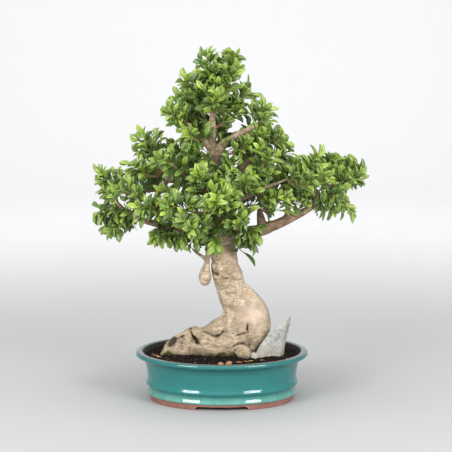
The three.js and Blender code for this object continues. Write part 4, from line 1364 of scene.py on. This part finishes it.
class BONSAI_OT_trunk(bpy.types.Operator):
    """Trunk, surface roots and branches, grown together, with bark, folds and moss"""

    bl_idname = "bonsai.trunk"
    bl_label = "Trunk"

    def execute(self, context):
        settings = context.scene.bonsai_colours
        sizes = context.scene.bonsai_sizes
        piece, pairs, places = grown_wood(sizes, make_bark(settings))
        mesh = piece.data
        outward = normals(mesh)
        push, smooth = bark_relief(places, sizes.bark_relief / MM)
        inwards, hollow = folds_and_pits(places)
        # folds and pits go in along the line of sight, where the wood faces the front
        facing = np.clip((0.3 - outward[:, 1]) * 5, 0, 1) * (places[:, 2] < CROWN_FOOT)
        push, hollow = ringed(places, push, hollow * facing)
        places = places + outward * push[:, None]
        places[:, 1] += inwards * facing
        places = relaxed(places, pairs, 1, np.full(len(places), 0.4))
        set_coordinates(mesh, in_frame(places))

        moss = mossy(places)
        ground = np.array([soil_height(x, y) for x, y, _ in places])
        # soil stain and painted shadow within a few millimetres of the soil
        soiled = np.clip(1 - (places[:, 2] - ground - 1) / 7, 0, 1) ** 1.5 * 0.8
        # browner branch bark and painted shade under the crown
        write_attribute(mesh, "branch", branch_bark_and_shade(places))
        # painted shade in folds, pits, rings and sunken places
        write_attribute(mesh, "hollow", np.maximum(hollow, sunken(mesh, places, pairs)))
        write_attribute(mesh, "smooth", smooth)
        write_attribute(mesh, "moss", moss)
        write_attribute(mesh, "soiled", soiled)
        hand_in(piece, "bark", "trunk")
        growing = np.nonzero((moss > MOSS_THICK) & (ground < places[:, 2] + 1))[0]
        hand_in(make_tufts(mesh, places, growing, settings, sizes), "leaves")
        return {"FINISHED"}


# Crown

# Leafy shoots: the middle of each, and its lift, from 1 straight up to -1 straight down.
SPRAYS = [
    (-22, 0, 770, 0.95), (18, -22, 748, 0.85), (-60, -18, 728, 0.8), (-16, 46, 728, 0.8),
    (-14, -50, 694, 0.65), (40, 26, 700, 0.7), (-80, 26, 678, 0.7), (-42, 84, 650, 0.5),
    (-104, -30, 662, 0.5), (90, -12, 668, 0.75), (120, -44, 612, 0.45), (64, 52, 618, 0.6),
    (144, 22, 584, 0.4),
    (-164, 6, 594, 0.85), (-188, -34, 542, 0.6), (-116, -62, 560, 0.6), (-84, 52, 566, 0.6),
    (-60, -40, 612, 0.6),
    (-252, -10, 512, 0.65), (-214, -72, 496, 0.35), (-240, -12, 424, -0.55), (-160, -84, 462, 0.1),
    (-190, 52, 488, 0.45),
    (-106, -114, 470, 0.35), (-62, -138, 424, 0.05), (-112, -50, 398, -0.3), (-14, -160, 480, 0.45),
    (-46, -88, 526, 0.65), (36, -124, 440, 0.1), (-10, -78, 392, -0.2), (56, -54, 412, -0.3),
    (54, -92, 520, 0.65), (98, -72, 562, 0.7), (118, -62, 474, 0.2), (104, 62, 450, 0.1),
    (158, 14, 520, 0.75),
    (204, -20, 550, 0.85), (250, 26, 546, 0.75), (290, -6, 512, 0.5), (272, -52, 462, -0.45),
    (246, 44, 466, -0.2), (184, 72, 490, 0.3), (206, -84, 520, 0.45),
    (66, 174, 480, 0.3), (-14, 146, 520, 0.55), (-92, 160, 520, 0.3), (10, 106, 602, 0.5),
    (-140, 112, 500, 0.3), (140, 122, 528, 0.4),
]
# Shoots that only fill the crown between those.
FILLERS = [
    (20, -8, 776, 0.9), (42, -34, 588, 0.5), (86, -20, 598, 0.5), (-46, -26, 576, 0.5),
    (18, -44, 546, 0.5), (-10, -60, 508, 0.55), (-104, -26, 486, 0.3), (-66, -46, 382, -0.35),
    (54, -36, 386, -0.5),
    (170, -34, 472, 0.3), (290, 16, 536, 0.6), (-258, -24, 450, -0.15), (-232, -40, 414, -0.7),
    (116, -46, 450, 0.1), (-130, -44, 402, -0.5), (64, 66, 556, 0.5), (-34, 70, 596, 0.5),
    (234, -32, 476, -0.3), (-24, 34, 640, 0.6), (24, 12, 656, 0.6), (-56, 22, 690, 0.6),
    (-130, 84, 540, 0.5), (100, 90, 500, 0.4), (12, -96, 498, 0.4), (-66, 8, 640, 0.5),
]
# Twig that hangs beside the trunk, the number of the spray whose piece it joins, and its leaves,
# each as its root and its tip.
HANGING_SPRAY = 31
HANGING_TWIG = ((38, -12, 386), (42, -18, 352))
HANGING_LEAVES = [
    ((41, -17, 355), (70, -24, 314)), ((42, -18, 360), (92, -30, 352)), ((41, -18, 366), (76, -34, 372)),
    ((40, -16, 372), (66, -22, 352)), ((39, -16, 364), (24, -40, 346)),
]
# Outline of the crown in the photograph's pixels, that leaves stay inside.
CROWN_OUTLINE = [
    (199, 57), (203, 49), (209, 45), (216, 51), (222, 54), (228, 48), (235, 49), (241, 57), (243, 66),
    (248, 72), (249, 80), (246, 90), (251, 95), (262, 96), (269, 101), (275, 106), (281, 113),
    (280, 126), (285, 135), (291, 142), (292, 149), (298, 156), (304, 155), (308, 149), (318, 146),
    (328, 149), (338, 154), (350, 156), (361, 161), (365, 169), (374, 177), (367, 185), (365, 194),
    (353, 199), (350, 206), (360, 220), (350, 225), (337, 217), (327, 226), (316, 221), (303, 223),
    (286, 222), (270, 229), (263, 236), (265, 247), (252, 258), (250, 266), (238, 256), (228, 258),
    (212, 256), (200, 256), (186, 255), (168, 249), (149, 250), (144, 235), (134, 229), (126, 238),
    (113, 245), (103, 239), (97, 226), (90, 212), (90, 205), (97, 200), (91, 190), (93, 178), (90, 168),
    (103, 163), (112, 158), (122, 163), (133, 167), (140, 160), (130, 154), (128, 145), (132, 139),
    (130, 129), (140, 125), (152, 127), (160, 128), (166, 134), (166, 125), (160, 122), (160, 111),
    (165, 104), (162, 96), (170, 92), (178, 87), (179, 79), (186, 71), (191, 65),
]
# Openings in the crown in the same pixels, as middle and half sizes, where branches and light show.
OPENINGS = [
    ((214, 148), (7, 9)), ((205, 146), (4, 7)), ((236, 133), (9, 3)), ((253, 124), (6, 2.5)),
    ((242, 167), (7, 6)), ((230, 154), (5, 5)), ((208, 118), (7, 3.5)), ((245, 129), (4, 2)),
    ((285, 157), (6, 4)), ((254, 218), (5, 7)), ((279, 211), (5, 6)),
    ((176, 137), (5, 7)), ((171, 186), (4, 4)), ((262, 214), (4, 8)), ((122, 200), (4, 3)),
    ((306, 214), (8, 4)), ((226, 244), (7, 6)), ((207, 197), (4, 3)), ((232, 88), (4, 3)),
]
PIXEL_ACROSS = 2.316
PIXEL_UP = 2.38
ORIGIN_PIXEL = (221.85, 397.9)
# The trunk's first point that bears twigs, and the first that leaves are kept away from.
FIRST_BEARING = 15
FIRST_CLEAR = 12
# Kinds of leaf, as name, droop, fold, cup and a power that moves the widest part to the tip.
LEAF_FORMS = [
    ("leaf_flat", 0.1, 0.2, 0.12, 1.1), ("leaf_arched", 0.3, 0.3, 0.16, 1.0),
    ("leaf_folded", 0.22, 0.62, 0.2, 1.15), ("leaf_broad", 0.16, 0.12, 0.1, 1.25),
]
# Pieces of foliage, each with the number of its first spray.
FOLIAGE = [
    ("leaves_top", 0), ("leaves_shoulders", 6), ("leaves_left_upper", 13), ("leaves_left_lower", 18),
    ("leaves_front", 23), ("leaves_front_right", 31), ("leaves_right", 36), ("leaves_back", 43),
]


def stations(points):
    """Points along stems, close enough together to measure a distance to the wood."""
    found = []
    for start, end in zip(points, points[1:]):
        steps = math.ceil(math.dist(start[:3], end[:3]) / 4)
        found += [np.array(start) + (np.array(end) - start) * step / steps for step in range(steps + 1)]
    return found


class Spray:
    """A leafy shoot's frame: where it starts, how it grows and the way out of the crown."""

    def __init__(self, number, middle, lift):
        self.number = number
        self.middle = np.array(middle, float)
        self.out = self.middle - CROWN_AXIS
        self.out[2] = 0
        self.out = unit(self.out)
        self.along = self.out * math.sqrt(1 - lift * lift) + np.array([0, 0, lift])
        steady = np.array([1.0, 0, 0]) if abs(self.along[0]) < 0.6 else np.array([0, 0, 1.0])
        self.across = unit(np.cross(self.along, steady))
        self.other = np.cross(self.along, self.across)
        self.base = self.middle - self.along * SHOOT_LENGTH / 2


def twig_points(spray, wood):
    """Twig from a branch to the start of a shoot, where it is short and hardly has to turn."""
    end = spray.base
    ways = end - wood[:, :3]
    lengths = np.linalg.norm(ways, axis=1)
    costs = lengths * (2 - (ways / lengths[:, None]) @ spray.along)
    start = wood[int(np.argmin(costs))]
    near = end - spray.along * 0.25 * np.linalg.norm(end - start[:3])
    middle = start[:3] + (near - start[:3]) * 0.65
    middle = middle + [6 * (draw(spray.number, 1) - 0.5), 6 * (draw(spray.number, 2) - 0.5), 0]
    thick = min(0.8 * start[3], 4.2)
    return [(*start[:3], thick), (*middle, min(thick, 2.8)), (*end, 1.8)]


def leaf_aim(spray, shoot_along, level, side, key, top):
    """Directions of a leaf: along its midrib and out of its upper side, with its size."""
    def vary(kind):
        return draw(spray.number, kind + key) - 0.5

    share = (level + 0.5) / SHOOT_LEVELS
    spread = math.radians(8 if top else 82 - 46 * share + 30 * vary(10))
    turn = 2 * math.pi * (side + level / 2) / 3 + 0.5 * vary(90)
    away = spray.across * math.cos(turn) + spray.other * math.sin(turn)
    along = shoot_along * math.cos(spread) + away * math.sin(spread)
    along = unit(along + [0, 0, 0.2 if spray.along[2] >= 0 else -0.4])
    up = spray.out * 0.75 + shoot_along * 0.3
    up = up + [1.3 * vary(130), 1.3 * vary(170), 0.45]
    up = unit(up - along * up.dot(along))
    return along, up, 0.99 + 0.26 * vary(50)


def make_leaf_form(name, droop, fold, cup, widest):
    """Leaf one unit long and one wide, along X with its upper side to +Z, on a slender stalk."""
    def lift(share):
        return 0.16 * math.sin(1.5 * share) - droop * share ** 2.4

    points = []
    spread = []
    for share in (0.05, 0.2, 0.38, 0.57, 0.75, 0.9):
        half = 0.5 * max(0.06, math.sin(math.pi * share ** widest) ** 0.7)
        reach = STALK_SHARE + (1 - STALK_SHARE) * share
        edge = lift(reach) + fold * half
        between = lift(reach) + (0.5 * fold + cup) * half
        for across, height, v in ((-1, edge, 0.0), (-0.55, between, 0.22), (0, lift(reach), 0.5),
                                  (0.55, between, 0.78), (1, edge, 1.0), (0, lift(reach) - 0.018, 0.5)):
            points.append((reach, across * half, height))
            spread.append((share, v))
    tip = len(points)
    points.append((1.0, 0.0, lift(1.0)))
    points += [(0.0, -0.03, 0.008), (0.0, 0.03, 0.008), (0.0, 0.0, -0.016)]
    spread += [(1.0, 0.5), (0.0, 0.45), (0.0, 0.55), (0.0, 0.5)]
    faces = []
    for low in range(0, tip - 6, 6):
        for side in range(6):
            after = (side + 1) % 6
            faces.append((low + side, low + 6 + side, low + 6 + after, low + after))
    faces += [(tip - 6 + side, tip, tip - 6 + (side + 1) % 6) for side in range(6)]
    left, right, under = tip + 1, tip + 2, tip + 3
    faces += [(left, 0, 1, 2), (left, 2, right), (right, 2, 3, 4), (right, 4, 5, under),
              (under, 5, 0, left), (left, right, under)]
    mesh = bpy.data.meshes.new(name)
    mesh.from_pydata(points, [], faces)
    shape = bmesh.new()
    shape.from_mesh(mesh)
    bmesh.ops.recalc_face_normals(shape, faces=shape.faces)
    shape.to_mesh(mesh)
    shape.free()
    mesh.shade_smooth()
    layer = mesh.uv_layers.new(name="UVMap")
    for loop in mesh.loops:
        layer.data[loop.index].uv = spread[loop.vertex_index]
    below = np.zeros(len(points))
    below[5:tip:6] = 1
    write_attribute(mesh, "under", below)
    return bpy.data.objects.new(name, mesh)


def main_leaves(spray):
    """Leaves of a spray's main shoot, at some of the places that its solid has."""
    leaves = []
    places = 3 * SHOOT_LEVELS
    for key in range(places + 1):
        if draw(spray.number, 700 + key) < 0.25:
            continue
        level, side = divmod(key, 3)
        top = key == places
        along, up, size = leaf_aim(spray, spray.along, level, side, key, top)
        root = spray.base + spray.along * SHOOT_LENGTH * (1 if top else (level + 0.5) / SHOOT_LEVELS)
        leaves.append((root + along * 1.4, along, up, size, 0.85 - 0.75 * key / places))
    return leaves


def side_shoot(spray, twig_line, number, count):
    """A side shoot from the twig or from the foot of the main shoot, with its leaves."""
    def vary(kind):
        return draw(spray.number, 300 + 40 * number + kind) - 0.5

    share = 0.35 + 0.6 * number / max(1, count - 1)
    start = twig_line[int(share * (len(twig_line) - 1))]
    if number >= count - 2:
        start = spray.base + spray.along * (0.15 + 0.3 * (number + 2 - count)) * SHOOT_LENGTH
    turn = 2.4 * number + 2 * vary(0)
    away = spray.across * math.cos(turn) + spray.other * math.sin(turn)
    way = unit(spray.along * 0.5 + away * 0.9 + [0, 0, 0.45])
    length = 30 + 16 * vary(1)
    leaves = []
    last = 7
    for key in range(last + 1):
        level = 1.5 + 5.2 * key / last
        along, up, size = leaf_aim(spray, way, level, 1.15 * key, 400 + 30 * number + key, key == last)
        root = start + way * length * (0.22 + 0.78 * key / last)
        leaves.append((root + along, along, up, 0.94 * size, 0.95 - 0.7 * key / last))
    return (start, way, length, SIDE_SHOOT_RADIUS), leaves


def inside_outline(points):
    """Whether points lie in the crown's outline and in none of its openings, seen from the camera."""
    eye = np.array(CAMERA_EYE) / MM
    share = eye[1] / (eye[1] - points[:, 1])
    x = eye[0] + (points[:, 0] - eye[0]) * share
    z = eye[2] + (points[:, 2] - eye[2]) * share
    across = ORIGIN_PIXEL[0] + x / PIXEL_ACROSS
    down = ORIGIN_PIXEL[1] - z / PIXEL_UP
    inside = np.zeros(len(points), bool)
    for (x1, y1), (x2, y2) in zip(CROWN_OUTLINE, CROWN_OUTLINE[1:] + CROWN_OUTLINE[:1]):
        spans = (y1 > down) != (y2 > down)
        inside ^= spans & (across < x1 + (down - y1) * (x2 - x1) / ((y2 - y1) or 1))
    for (column, row), (half_width, half_height) in OPENINGS:
        inside &= np.hypot((across - column) / half_width, (down - row) / half_height) > 1
    return inside


def clear_leaves(leaves, length, wood):
    """Leaves that stay in the crown's outline and out of the wood."""
    roots, along = (np.array([leaf[k] for leaf in leaves]) for k in range(2))
    reach = length * np.array([leaf[3] for leaf in leaves])[:, None]
    clear = inside_outline(roots + along * reach * 0.92) & inside_outline(roots + along * reach * 0.5)
    for share in (0.5, 0.75, 1.0):
        gaps = np.linalg.norm((roots + along * reach * share)[:, None] - wood[None, :, :3], axis=2)
        clear &= (gaps > wood[:, 3] + 2).all(axis=1)
    return [leaf for leaf, stays in zip(leaves, clear) if stays]


def grown_shoots(sprays, twigs, side_shoots, length, wood):
    """Green shoots of the crown, and the leaves of each spray."""
    shoots = []
    leaves_of = []
    for spray, twig in zip(sprays, twigs):
        leaves = clear_leaves(main_leaves(spray), length, wood)
        filler = spray.number >= len(SPRAYS)
        if leaves or not filler:
            shoots.append((spray.base, spray.along, SHOOT_LENGTH, SHOOT_RADIUS))
        line = spline(twig, 4)[:, :3]
        count = side_shoots - 2 * filler
        for number in range(count):
            shoot, more = side_shoot(spray, line, number, count)
            more = clear_leaves(more, length, wood)
            if len(more) > 3:
                shoots.append(shoot)
                leaves += more
        leaves_of.append(leaves)
    return shoots, leaves_of


def hanging_shoot():
    """The shoot that hangs beside the trunk."""
    start, end = np.array(HANGING_TWIG, float)
    return start, unit(end - start), np.linalg.norm(end - start), HANGING_RADIUS


def hanging_leaves(length):
    """Leaves of the shoot that hangs beside the trunk."""
    leaves = []
    for root, tip in HANGING_LEAVES:
        along = np.array(tip, float) - root
        reach = np.linalg.norm(along)
        up = unit(np.cross(along, (0, 1, 0.4)))
        leaves.append((np.array(root, float), along / reach, up, 1.1 * reach / length, 0.75))
    return leaves


def foliage_groups(sprays):
    """Numbers of the sprays in each piece of foliage. A filling shoot joins its nearest spray."""
    firsts = [first for _, first in FOLIAGE] + [len(SPRAYS)]
    groups = [list(range(first, last)) for first, last in zip(firsts, firsts[1:])]
    for filler in sprays[len(SPRAYS):]:
        gaps = [np.linalg.norm(filler.middle - spray.middle) for spray in sprays[:len(SPRAYS)]]
        nearest = int(np.argmin(gaps))
        next(group for group in groups if nearest in group).append(filler.number)
    return groups


def make_foliage(name, leaves, forms, random, sizes, material):
    """One piece of foliage, its leaves spread a little in aim, size and how dark they are."""
    count = len(leaves)
    roots, along, up = (np.array([leaf[k] for leaf in leaves]) for k in range(3))
    along = along + random.normal(0, 0.16, (count, 3))
    up = up + random.normal(0, 0.3, (count, 3))
    size = np.array([leaf[3] for leaf in leaves]) * random.uniform(0.78, 1.06, count)
    # leaves low down and near the trunk are darker, as older leaves and as painted shade inside the
    # crown, and those at the top are younger
    low = np.clip((520 - roots[:, 2]) / 160, 0, 1) - np.clip((roots[:, 2] - 620) / 200, 0, 1)
    inner = np.clip(1 - np.linalg.norm((roots - CROWN_AXIS)[:, :2], axis=1) / 130, 0, 1)
    age = np.array([leaf[4] for leaf in leaves]) + 0.18 * low + 0.2 * inner
    age = np.clip(age + random.normal(0, 0.17, count), 0, 1)
    return scatter(
        name, forms, roots, along, up, size, random.integers(0, len(LEAF_FORMS), count),
        sizes.leaf_length, sizes.leaf_width, material,
        {"age": age, "tone": random.uniform(0, 1, count)})


def make_twigs(twigs, shoots, material):
    """Twigs and green shoots as one piece, and how young each place on them is."""
    stems = []
    young = []
    for twig in twigs:
        part = loft(twig, 9, 5, ends=(0.2, 0.4))
        stems.append(part)
        young.append(np.zeros(len(part[0])))
    for start, way, reach, radius in shoots:
        bend = start + way * reach * 0.5 + np.array([0, 0, 1.2])
        line = [(*start, radius), (*bend, 0.8 * radius), (*(start + way * reach), 0.45 * radius)]
        part = loft(line, 6, 7, ends=(0.2, 1.0))
        stems.append(part)
        young.append(np.clip(np.linalg.norm(np.array(part[0]) - start, axis=1) / reach, 0, 1))
    piece = new_piece("twigs", *joined(stems), material)
    write_attribute(piece.data, "young", np.concatenate(young))
    return piece


class BONSAI_OT_crown(bpy.types.Operator):
    """Twigs, green shoots and leaves"""

    bl_idname = "bonsai.crown"
    bl_label = "Crown"

    def execute(self, context):
        settings = context.scene.bonsai_colours
        sizes = context.scene.bonsai_sizes
        length = sizes.leaf_length / MM
        wood = [station for branch in BRANCHES for station in stations(branch)]
        wood += [np.array(point) for point in TRUNK[FIRST_BEARING:]] + stations(STUB_BRANCHLET)
        wood = np.array(wood)
        all_wood = np.vstack([wood, stations(TRUNK[FIRST_CLEAR:]), stations(HANGING_STUB)])
        places = enumerate(SPRAYS + FILLERS)
        sprays = [Spray(number, place[:3], place[3]) for number, place in places]
        twigs = [twig_points(spray, wood) for spray in sprays]
        shoots, leaves_of = grown_shoots(sprays, twigs, sizes.side_shoots, length, all_wood)
        shoots.append(hanging_shoot())
        leaves_of[HANGING_SPRAY] += hanging_leaves(length)
        material = make_leaf(settings)
        forms = form_collection("leaf_forms", [make_leaf_form(*form) for form in LEAF_FORMS])
        random = np.random.default_rng(11)
        for (name, _), group in zip(FOLIAGE, foliage_groups(sprays)):
            leaves = [leaf for number in group for leaf in leaves_of[number]]
            piece = make_foliage(name, leaves, forms, random, sizes, material)
            nodes = [f"spray_{number + 1:02d}" for number in group if number < len(SPRAYS)]
            hand_in(piece, "leaves", *nodes)
        hand_in(make_twigs(twigs, shoots, make_twig_bark(settings)), "bark")
        return {"FINISHED"}


# Stone, pebbles and chips

STONE_OUTLINE = [
    (70, 88), (70, 110), (90, 140), (109, 168), (122, 172), (140, 186), (155, 200), (153, 184),
    (147, 158), (140, 136), (136, 88),
]
STONE_CENTRE = (112, 145)
# Layers of the slab from front to back, as their share of the outline and how deep they lie.
STONE_LAYERS = [(0.95, -3), (1, 2), (0.99, 17), (0.8, 26)]
# Stone flake, as its middle, half sizes and tilt.
FLAKE = ((75, -57, 112), (10.5, 6, 8), 0.7)
# Pebbles, as middle, radius, tilt, kind and slot.
PEBBLES = [
    ((-2, -121, 109), 7, 0.4, "beige", "beige_pebble"),
    ((16, -116, 110), 7.5, -0.5, "brown", "brown_pebble"),
]
# Bark chips on the soil, as place, radius, turn and kind.
CHIPS = [
    ((40, -96), 8.5, 0.3, "red"), ((56, -90), 6.5, -0.4, "red"), ((66, -86), 6, 0.2, "brown"),
    ((-152, -26), 6.5, 0.5, "red"), ((-146, -40), 5.5, -0.2, "brown"), ((-160, -12), 5, 0.9, "red"),
    ((-60, -98), 4.5, 1.1, "beige"), ((92, -78), 5, 0.6, "brown"), ((120, 40), 7, 0.1, "beige"),
]
CHIP_LIFT = 1.6


def stone_layer(share, depth):
    """One ring of the slab's outline. The slab is turned, and deeper rings lie further right."""
    ring = []
    for x, z in STONE_OUTLINE:
        across = (x - STONE_CENTRE[0]) * share
        rise = (z - STONE_CENTRE[1]) * share
        ring.append((STONE_CENTRE[0] + across + 0.4 * depth, -42 + 0.43 * across + depth,
                     STONE_CENTRE[1] + rise - 0.1 * depth))
    return ring


def roughened(piece, terms, rounds=0):
    """Smooths a piece a little and pushes its points out by layers of noise."""
    mesh = piece.data
    places = round_pot(coordinates(mesh))
    if rounds:
        places = relaxed(places, neighbours(mesh), rounds, np.full(len(places), 0.4))
        set_coordinates(mesh, in_frame(places))
    push = sum(height * noise_at(places, wavelength, seed) for height, wavelength, seed in terms)
    set_coordinates(mesh, in_frame(places + normals(mesh) * push[:, None]))
    mesh.shade_smooth()
    return piece


def make_slab(material):
    """The slab, one layer of its outline behind the other, worn smooth."""
    points = [point for layer in STONE_LAYERS for point in stone_layer(*layer)]
    count = len(STONE_OUTLINE)
    last = (len(STONE_LAYERS) - 1) * count
    faces = [list(range(count)), list(range(last, last + count))[::-1]]
    for low in range(0, last, count):
        for side in range(count):
            after = (side + 1) % count
            faces.append((low + side, low + count + side, low + count + after, low + after))
    slab = remeshed(new_piece("leaning_stone", points, faces, material), 1.5)
    return roughened(slab, [(1.5, 24, 5), (0.9, 8, 6), (0.45, 3.2, 7)], 3)


def make_flake(material):
    middle, half_sizes, tilt = FLAKE
    flake = new_piece("stone_flake", *egg(middle, np.array(half_sizes), tilt), material)
    return roughened(remeshed(flake, 0.9), [(2.2, 9, 31), (0.5, 3, 32)], 2)


def make_pebble(number, middle, radius, tilt, material):
    half = np.array([1.1, 0.92, 0.72]) * radius
    pebble = new_piece(f"soil_pebble_{number + 1}", *egg(middle, half, tilt), material)
    return roughened(remeshed(pebble, 0.8), [(0.9, 7, 8 + number), (0.3, 2.4, 9)], 2)


def make_chip(number, place, radius, turn, material):
    """A flat chip of bark that lies on the soil."""
    points, faces = egg((0, 0, 0), np.array([1.0, 0.55, 0.22]) * radius, 0.08, 14)
    spin = Matrix.Rotation(turn, 3, "Z")
    rest = Vector((*place, soil_height(*place) + CHIP_LIFT))
    points = [tuple(spin @ Vector(point) + rest) for point in points]
    chip = new_piece(f"bark_chip_{number + 1}", points, faces, material)
    return roughened(chip, [(1.0, 5, 20 + number)])


class BONSAI_OT_stones(bpy.types.Operator):
    """Slab that leans on the trunk, and the pebbles and chips on the soil"""

    bl_idname = "bonsai.stones"
    bl_label = "Stones and chips"

    def execute(self, context):
        settings = context.scene.bonsai_colours
        grey = make_stone_material(settings)
        hand_in(make_slab(grey), "grey_stone", "stone")
        hand_in(make_flake(grey), "grey_stone")
        kinds = {
            "beige": make_chip_material("Beige pebble", settings, "pebble_beige", "pebble_brown"),
            "brown": make_chip_material("Brown pebble", settings, "pebble_brown", "pebble_beige"),
            "red": make_chip_material("Red chip", settings, "chip_red", "pebble_brown"),
        }
        for number, (middle, radius, tilt, kind, slot) in enumerate(PEBBLES):
            pebble = make_pebble(number, middle, radius, tilt, kinds[kind])
            hand_in(pebble, slot, f"pebble_{number + 1}")
        for number, (place, radius, turn, kind) in enumerate(CHIPS):
            hand_in(make_chip(number, place, radius, turn, kinds[kind]), "brown_pebble")
        return {"FINISHED"}


class BONSAI_OT_screens(bpy.types.Operator):
    """Finish of the drain screens"""

    bl_idname = "bonsai.screens"
    bl_label = "Drain screens"

    def execute(self, context):
        material = make_screen_material(context.scene.bonsai_colours)
        for side in ("left", "right"):
            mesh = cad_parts[f"drain_screen_{side}"].data
            mesh.materials.clear()
            mesh.materials.append(material)
        return {"FINISHED"}


# Stage, in metres

# Paper of the floor and backdrop: half its width, where it starts in front of the tree and where it
# bends up behind it, the bend's radius and the top edge.
PAPER_HALF_WIDTH = 9.0
PAPER_START = -9.0
PAPER_BEND = 3.0
PAPER_RADIUS = 1.5
PAPER_TOP = 8.0
# Distances from the pot between which the floor's colour turns into the backdrop's.
FLOOR_FADE = (0.5, 2.6)
# Lights, as name, azimuth, rise, distance from what they aim at, size, watts and aim.
LIGHT_AIM = (POT_MIDDLE[0], POT_MIDDLE[1], 0.35)
LIGHTS = [
    ("left softbox", -39, 22, 2.6, (0.98, 0.8), 40, LIGHT_AIM),
    ("right softbox", 39, 22, 2.6, (0.98, 0.8), 40, LIGHT_AIM),
    ("backdrop light", 0, 62, 2.2, (6, 1.2), 44, (0, 3.2, 0.8)),
    ("top softbox", 0, 80, 2.8, (2.4, 2.2), 56, LIGHT_AIM),
    ("ceiling light", 0, 90, 3.6, (9, 5), 90, (0, -5.2, 0)),
]
# Colour of the surroundings, and their strength as light and where the camera sees them.
SKY_COLOUR = (0.96, 0.98, 1, 1)
SKY_LIGHT = 0.58
SKY_SEEN = 0.47


def make_paper(settings):
    material, shader, surface = new_material("Studio paper", 0.9)
    away = shader.add("ShaderNodeVectorMath", {"Vector": shader.place()}, operation="LENGTH")
    far = shader.ramp(away.outputs["Value"], *FLOOR_FADE)
    tone = shader.mix(far, colour(settings, "floor"), colour(settings, "backdrop"))
    shader.wire(surface["Base Color"], tone)
    return material


def make_backdrop(material):
    """Floor that bends up into the backdrop, one sheet of paper."""
    profile = [(PAPER_START, 0.0), (PAPER_BEND, 0.0)]
    for turn in np.linspace(0.1, math.pi / 2, 16):
        back = PAPER_BEND + PAPER_RADIUS * math.sin(turn)
        profile.append((back, PAPER_RADIUS - PAPER_RADIUS * math.cos(turn)))
    profile.append((PAPER_BEND + PAPER_RADIUS, PAPER_TOP))
    points = [(x, y, z) for y, z in profile for x in (-PAPER_HALF_WIDTH, PAPER_HALF_WIDTH)]
    faces = [(2 * k, 2 * k + 1, 2 * k + 3, 2 * k + 2) for k in range(len(profile) - 1)]
    mesh = bpy.data.meshes.new("studio")
    mesh.from_pydata(points, [], faces)
    mesh.shade_smooth()
    return new_object("studio", mesh, material)


def softbox(name, azimuth, rise, distance, size, power, target):
    """Rectangular area light. Azimuth 0 is in front of the tree, and grows to its right."""
    turn = math.radians(azimuth)
    lift = math.radians(rise)
    flat = math.cos(lift)
    way = Vector((math.sin(turn) * flat, -math.cos(turn) * flat, math.sin(lift)))
    light = bpy.data.lights.new(name, "AREA")
    light.shape = "RECTANGLE"
    light.size, light.size_y = size
    light.energy = power
    lamp = bpy.data.objects.new(name, light)
    lamp.location = Vector(target) + way * distance
    lamp.rotation_euler = way.to_track_quat("Z", "Y").to_euler()
    bpy.context.scene.collection.objects.link(lamp)


def make_sky(scene):
    """Even light from all round, a little darker where the camera sees it."""
    world = bpy.data.worlds.new("Studio light")
    scene.world = world
    world.use_nodes = True
    background = world.node_tree.nodes["Background"].inputs
    background["Color"].default_value = SKY_COLOUR
    sky = Shader(world.node_tree)
    seen = sky.add("ShaderNodeLightPath").outputs["Is Camera Ray"]
    sky.wire(background["Strength"], sky.ramp(seen, 0, 1, SKY_LIGHT, SKY_SEEN))


def make_camera(scene):
    view = bpy.data.cameras.new("camera")
    view.sensor_width = SENSOR
    view.lens = CAMERA_LENS
    view.clip_end = 50
    camera = bpy.data.objects.new("camera", view)
    camera.location = Vector(POT_MIDDLE) + Vector(CAMERA_EYE)
    camera.rotation_euler = Euler((math.pi / 2 - CAMERA_DIP, 0, 0))
    scene.collection.objects.link(camera)
    scene.camera = camera


class BONSAI_OT_stage(bpy.types.Operator):
    """Pale floor and backdrop, soft lights and the camera"""

    bl_idname = "bonsai.stage"
    bl_label = "Stage"

    def execute(self, context):
        backdrop = make_backdrop(make_paper(context.scene.bonsai_colours))
        for light in LIGHTS:
            softbox(*light)
        make_sky(context.scene)
        context.scene.view_settings.view_transform = "Standard"
        make_camera(context.scene)
        return {"FINISHED"}


class BONSAI_PT_panel(bpy.types.Panel):
    """Lists the pieces of the bonsai"""

    bl_idname = "BONSAI_PT_panel"
    bl_label = "Banyan bonsai"
    bl_space_type = "VIEW_3D"
    bl_region_type = "UI"
    bl_category = "Bonsai"

    def draw(self, context):
        for operator in OPERATORS:
            self.layout.operator(operator.bl_idname)


OPERATORS = (
    BONSAI_OT_pot, BONSAI_OT_soil, BONSAI_OT_trunk, BONSAI_OT_crown, BONSAI_OT_stones,
    BONSAI_OT_screens, BONSAI_OT_stage,
)
CLASSES = (BonsaiColours, BonsaiSizes, *OPERATORS, BONSAI_PT_panel)


def register():
    for cls in CLASSES:
        bpy.utils.register_class(cls)
    bpy.types.Scene.bonsai_colours = bpy.props.PointerProperty(type=BonsaiColours)
    bpy.types.Scene.bonsai_sizes = bpy.props.PointerProperty(type=BonsaiSizes)


def unregister():
    del bpy.types.Scene.bonsai_sizes
    del bpy.types.Scene.bonsai_colours
    for cls in reversed(CLASSES):
        bpy.utils.unregister_class(cls)


def main():
    register()
    make_mottle_group()
    make_speckle_group()
    make_scatter()
    bpy.ops.bonsai.pot()
    bpy.ops.bonsai.soil()
    bpy.ops.bonsai.trunk()
    bpy.ops.bonsai.crown()
    bpy.ops.bonsai.stones()
    bpy.ops.bonsai.screens()
    bpy.ops.bonsai.stage()


if __name__ == "__main__":
    main()
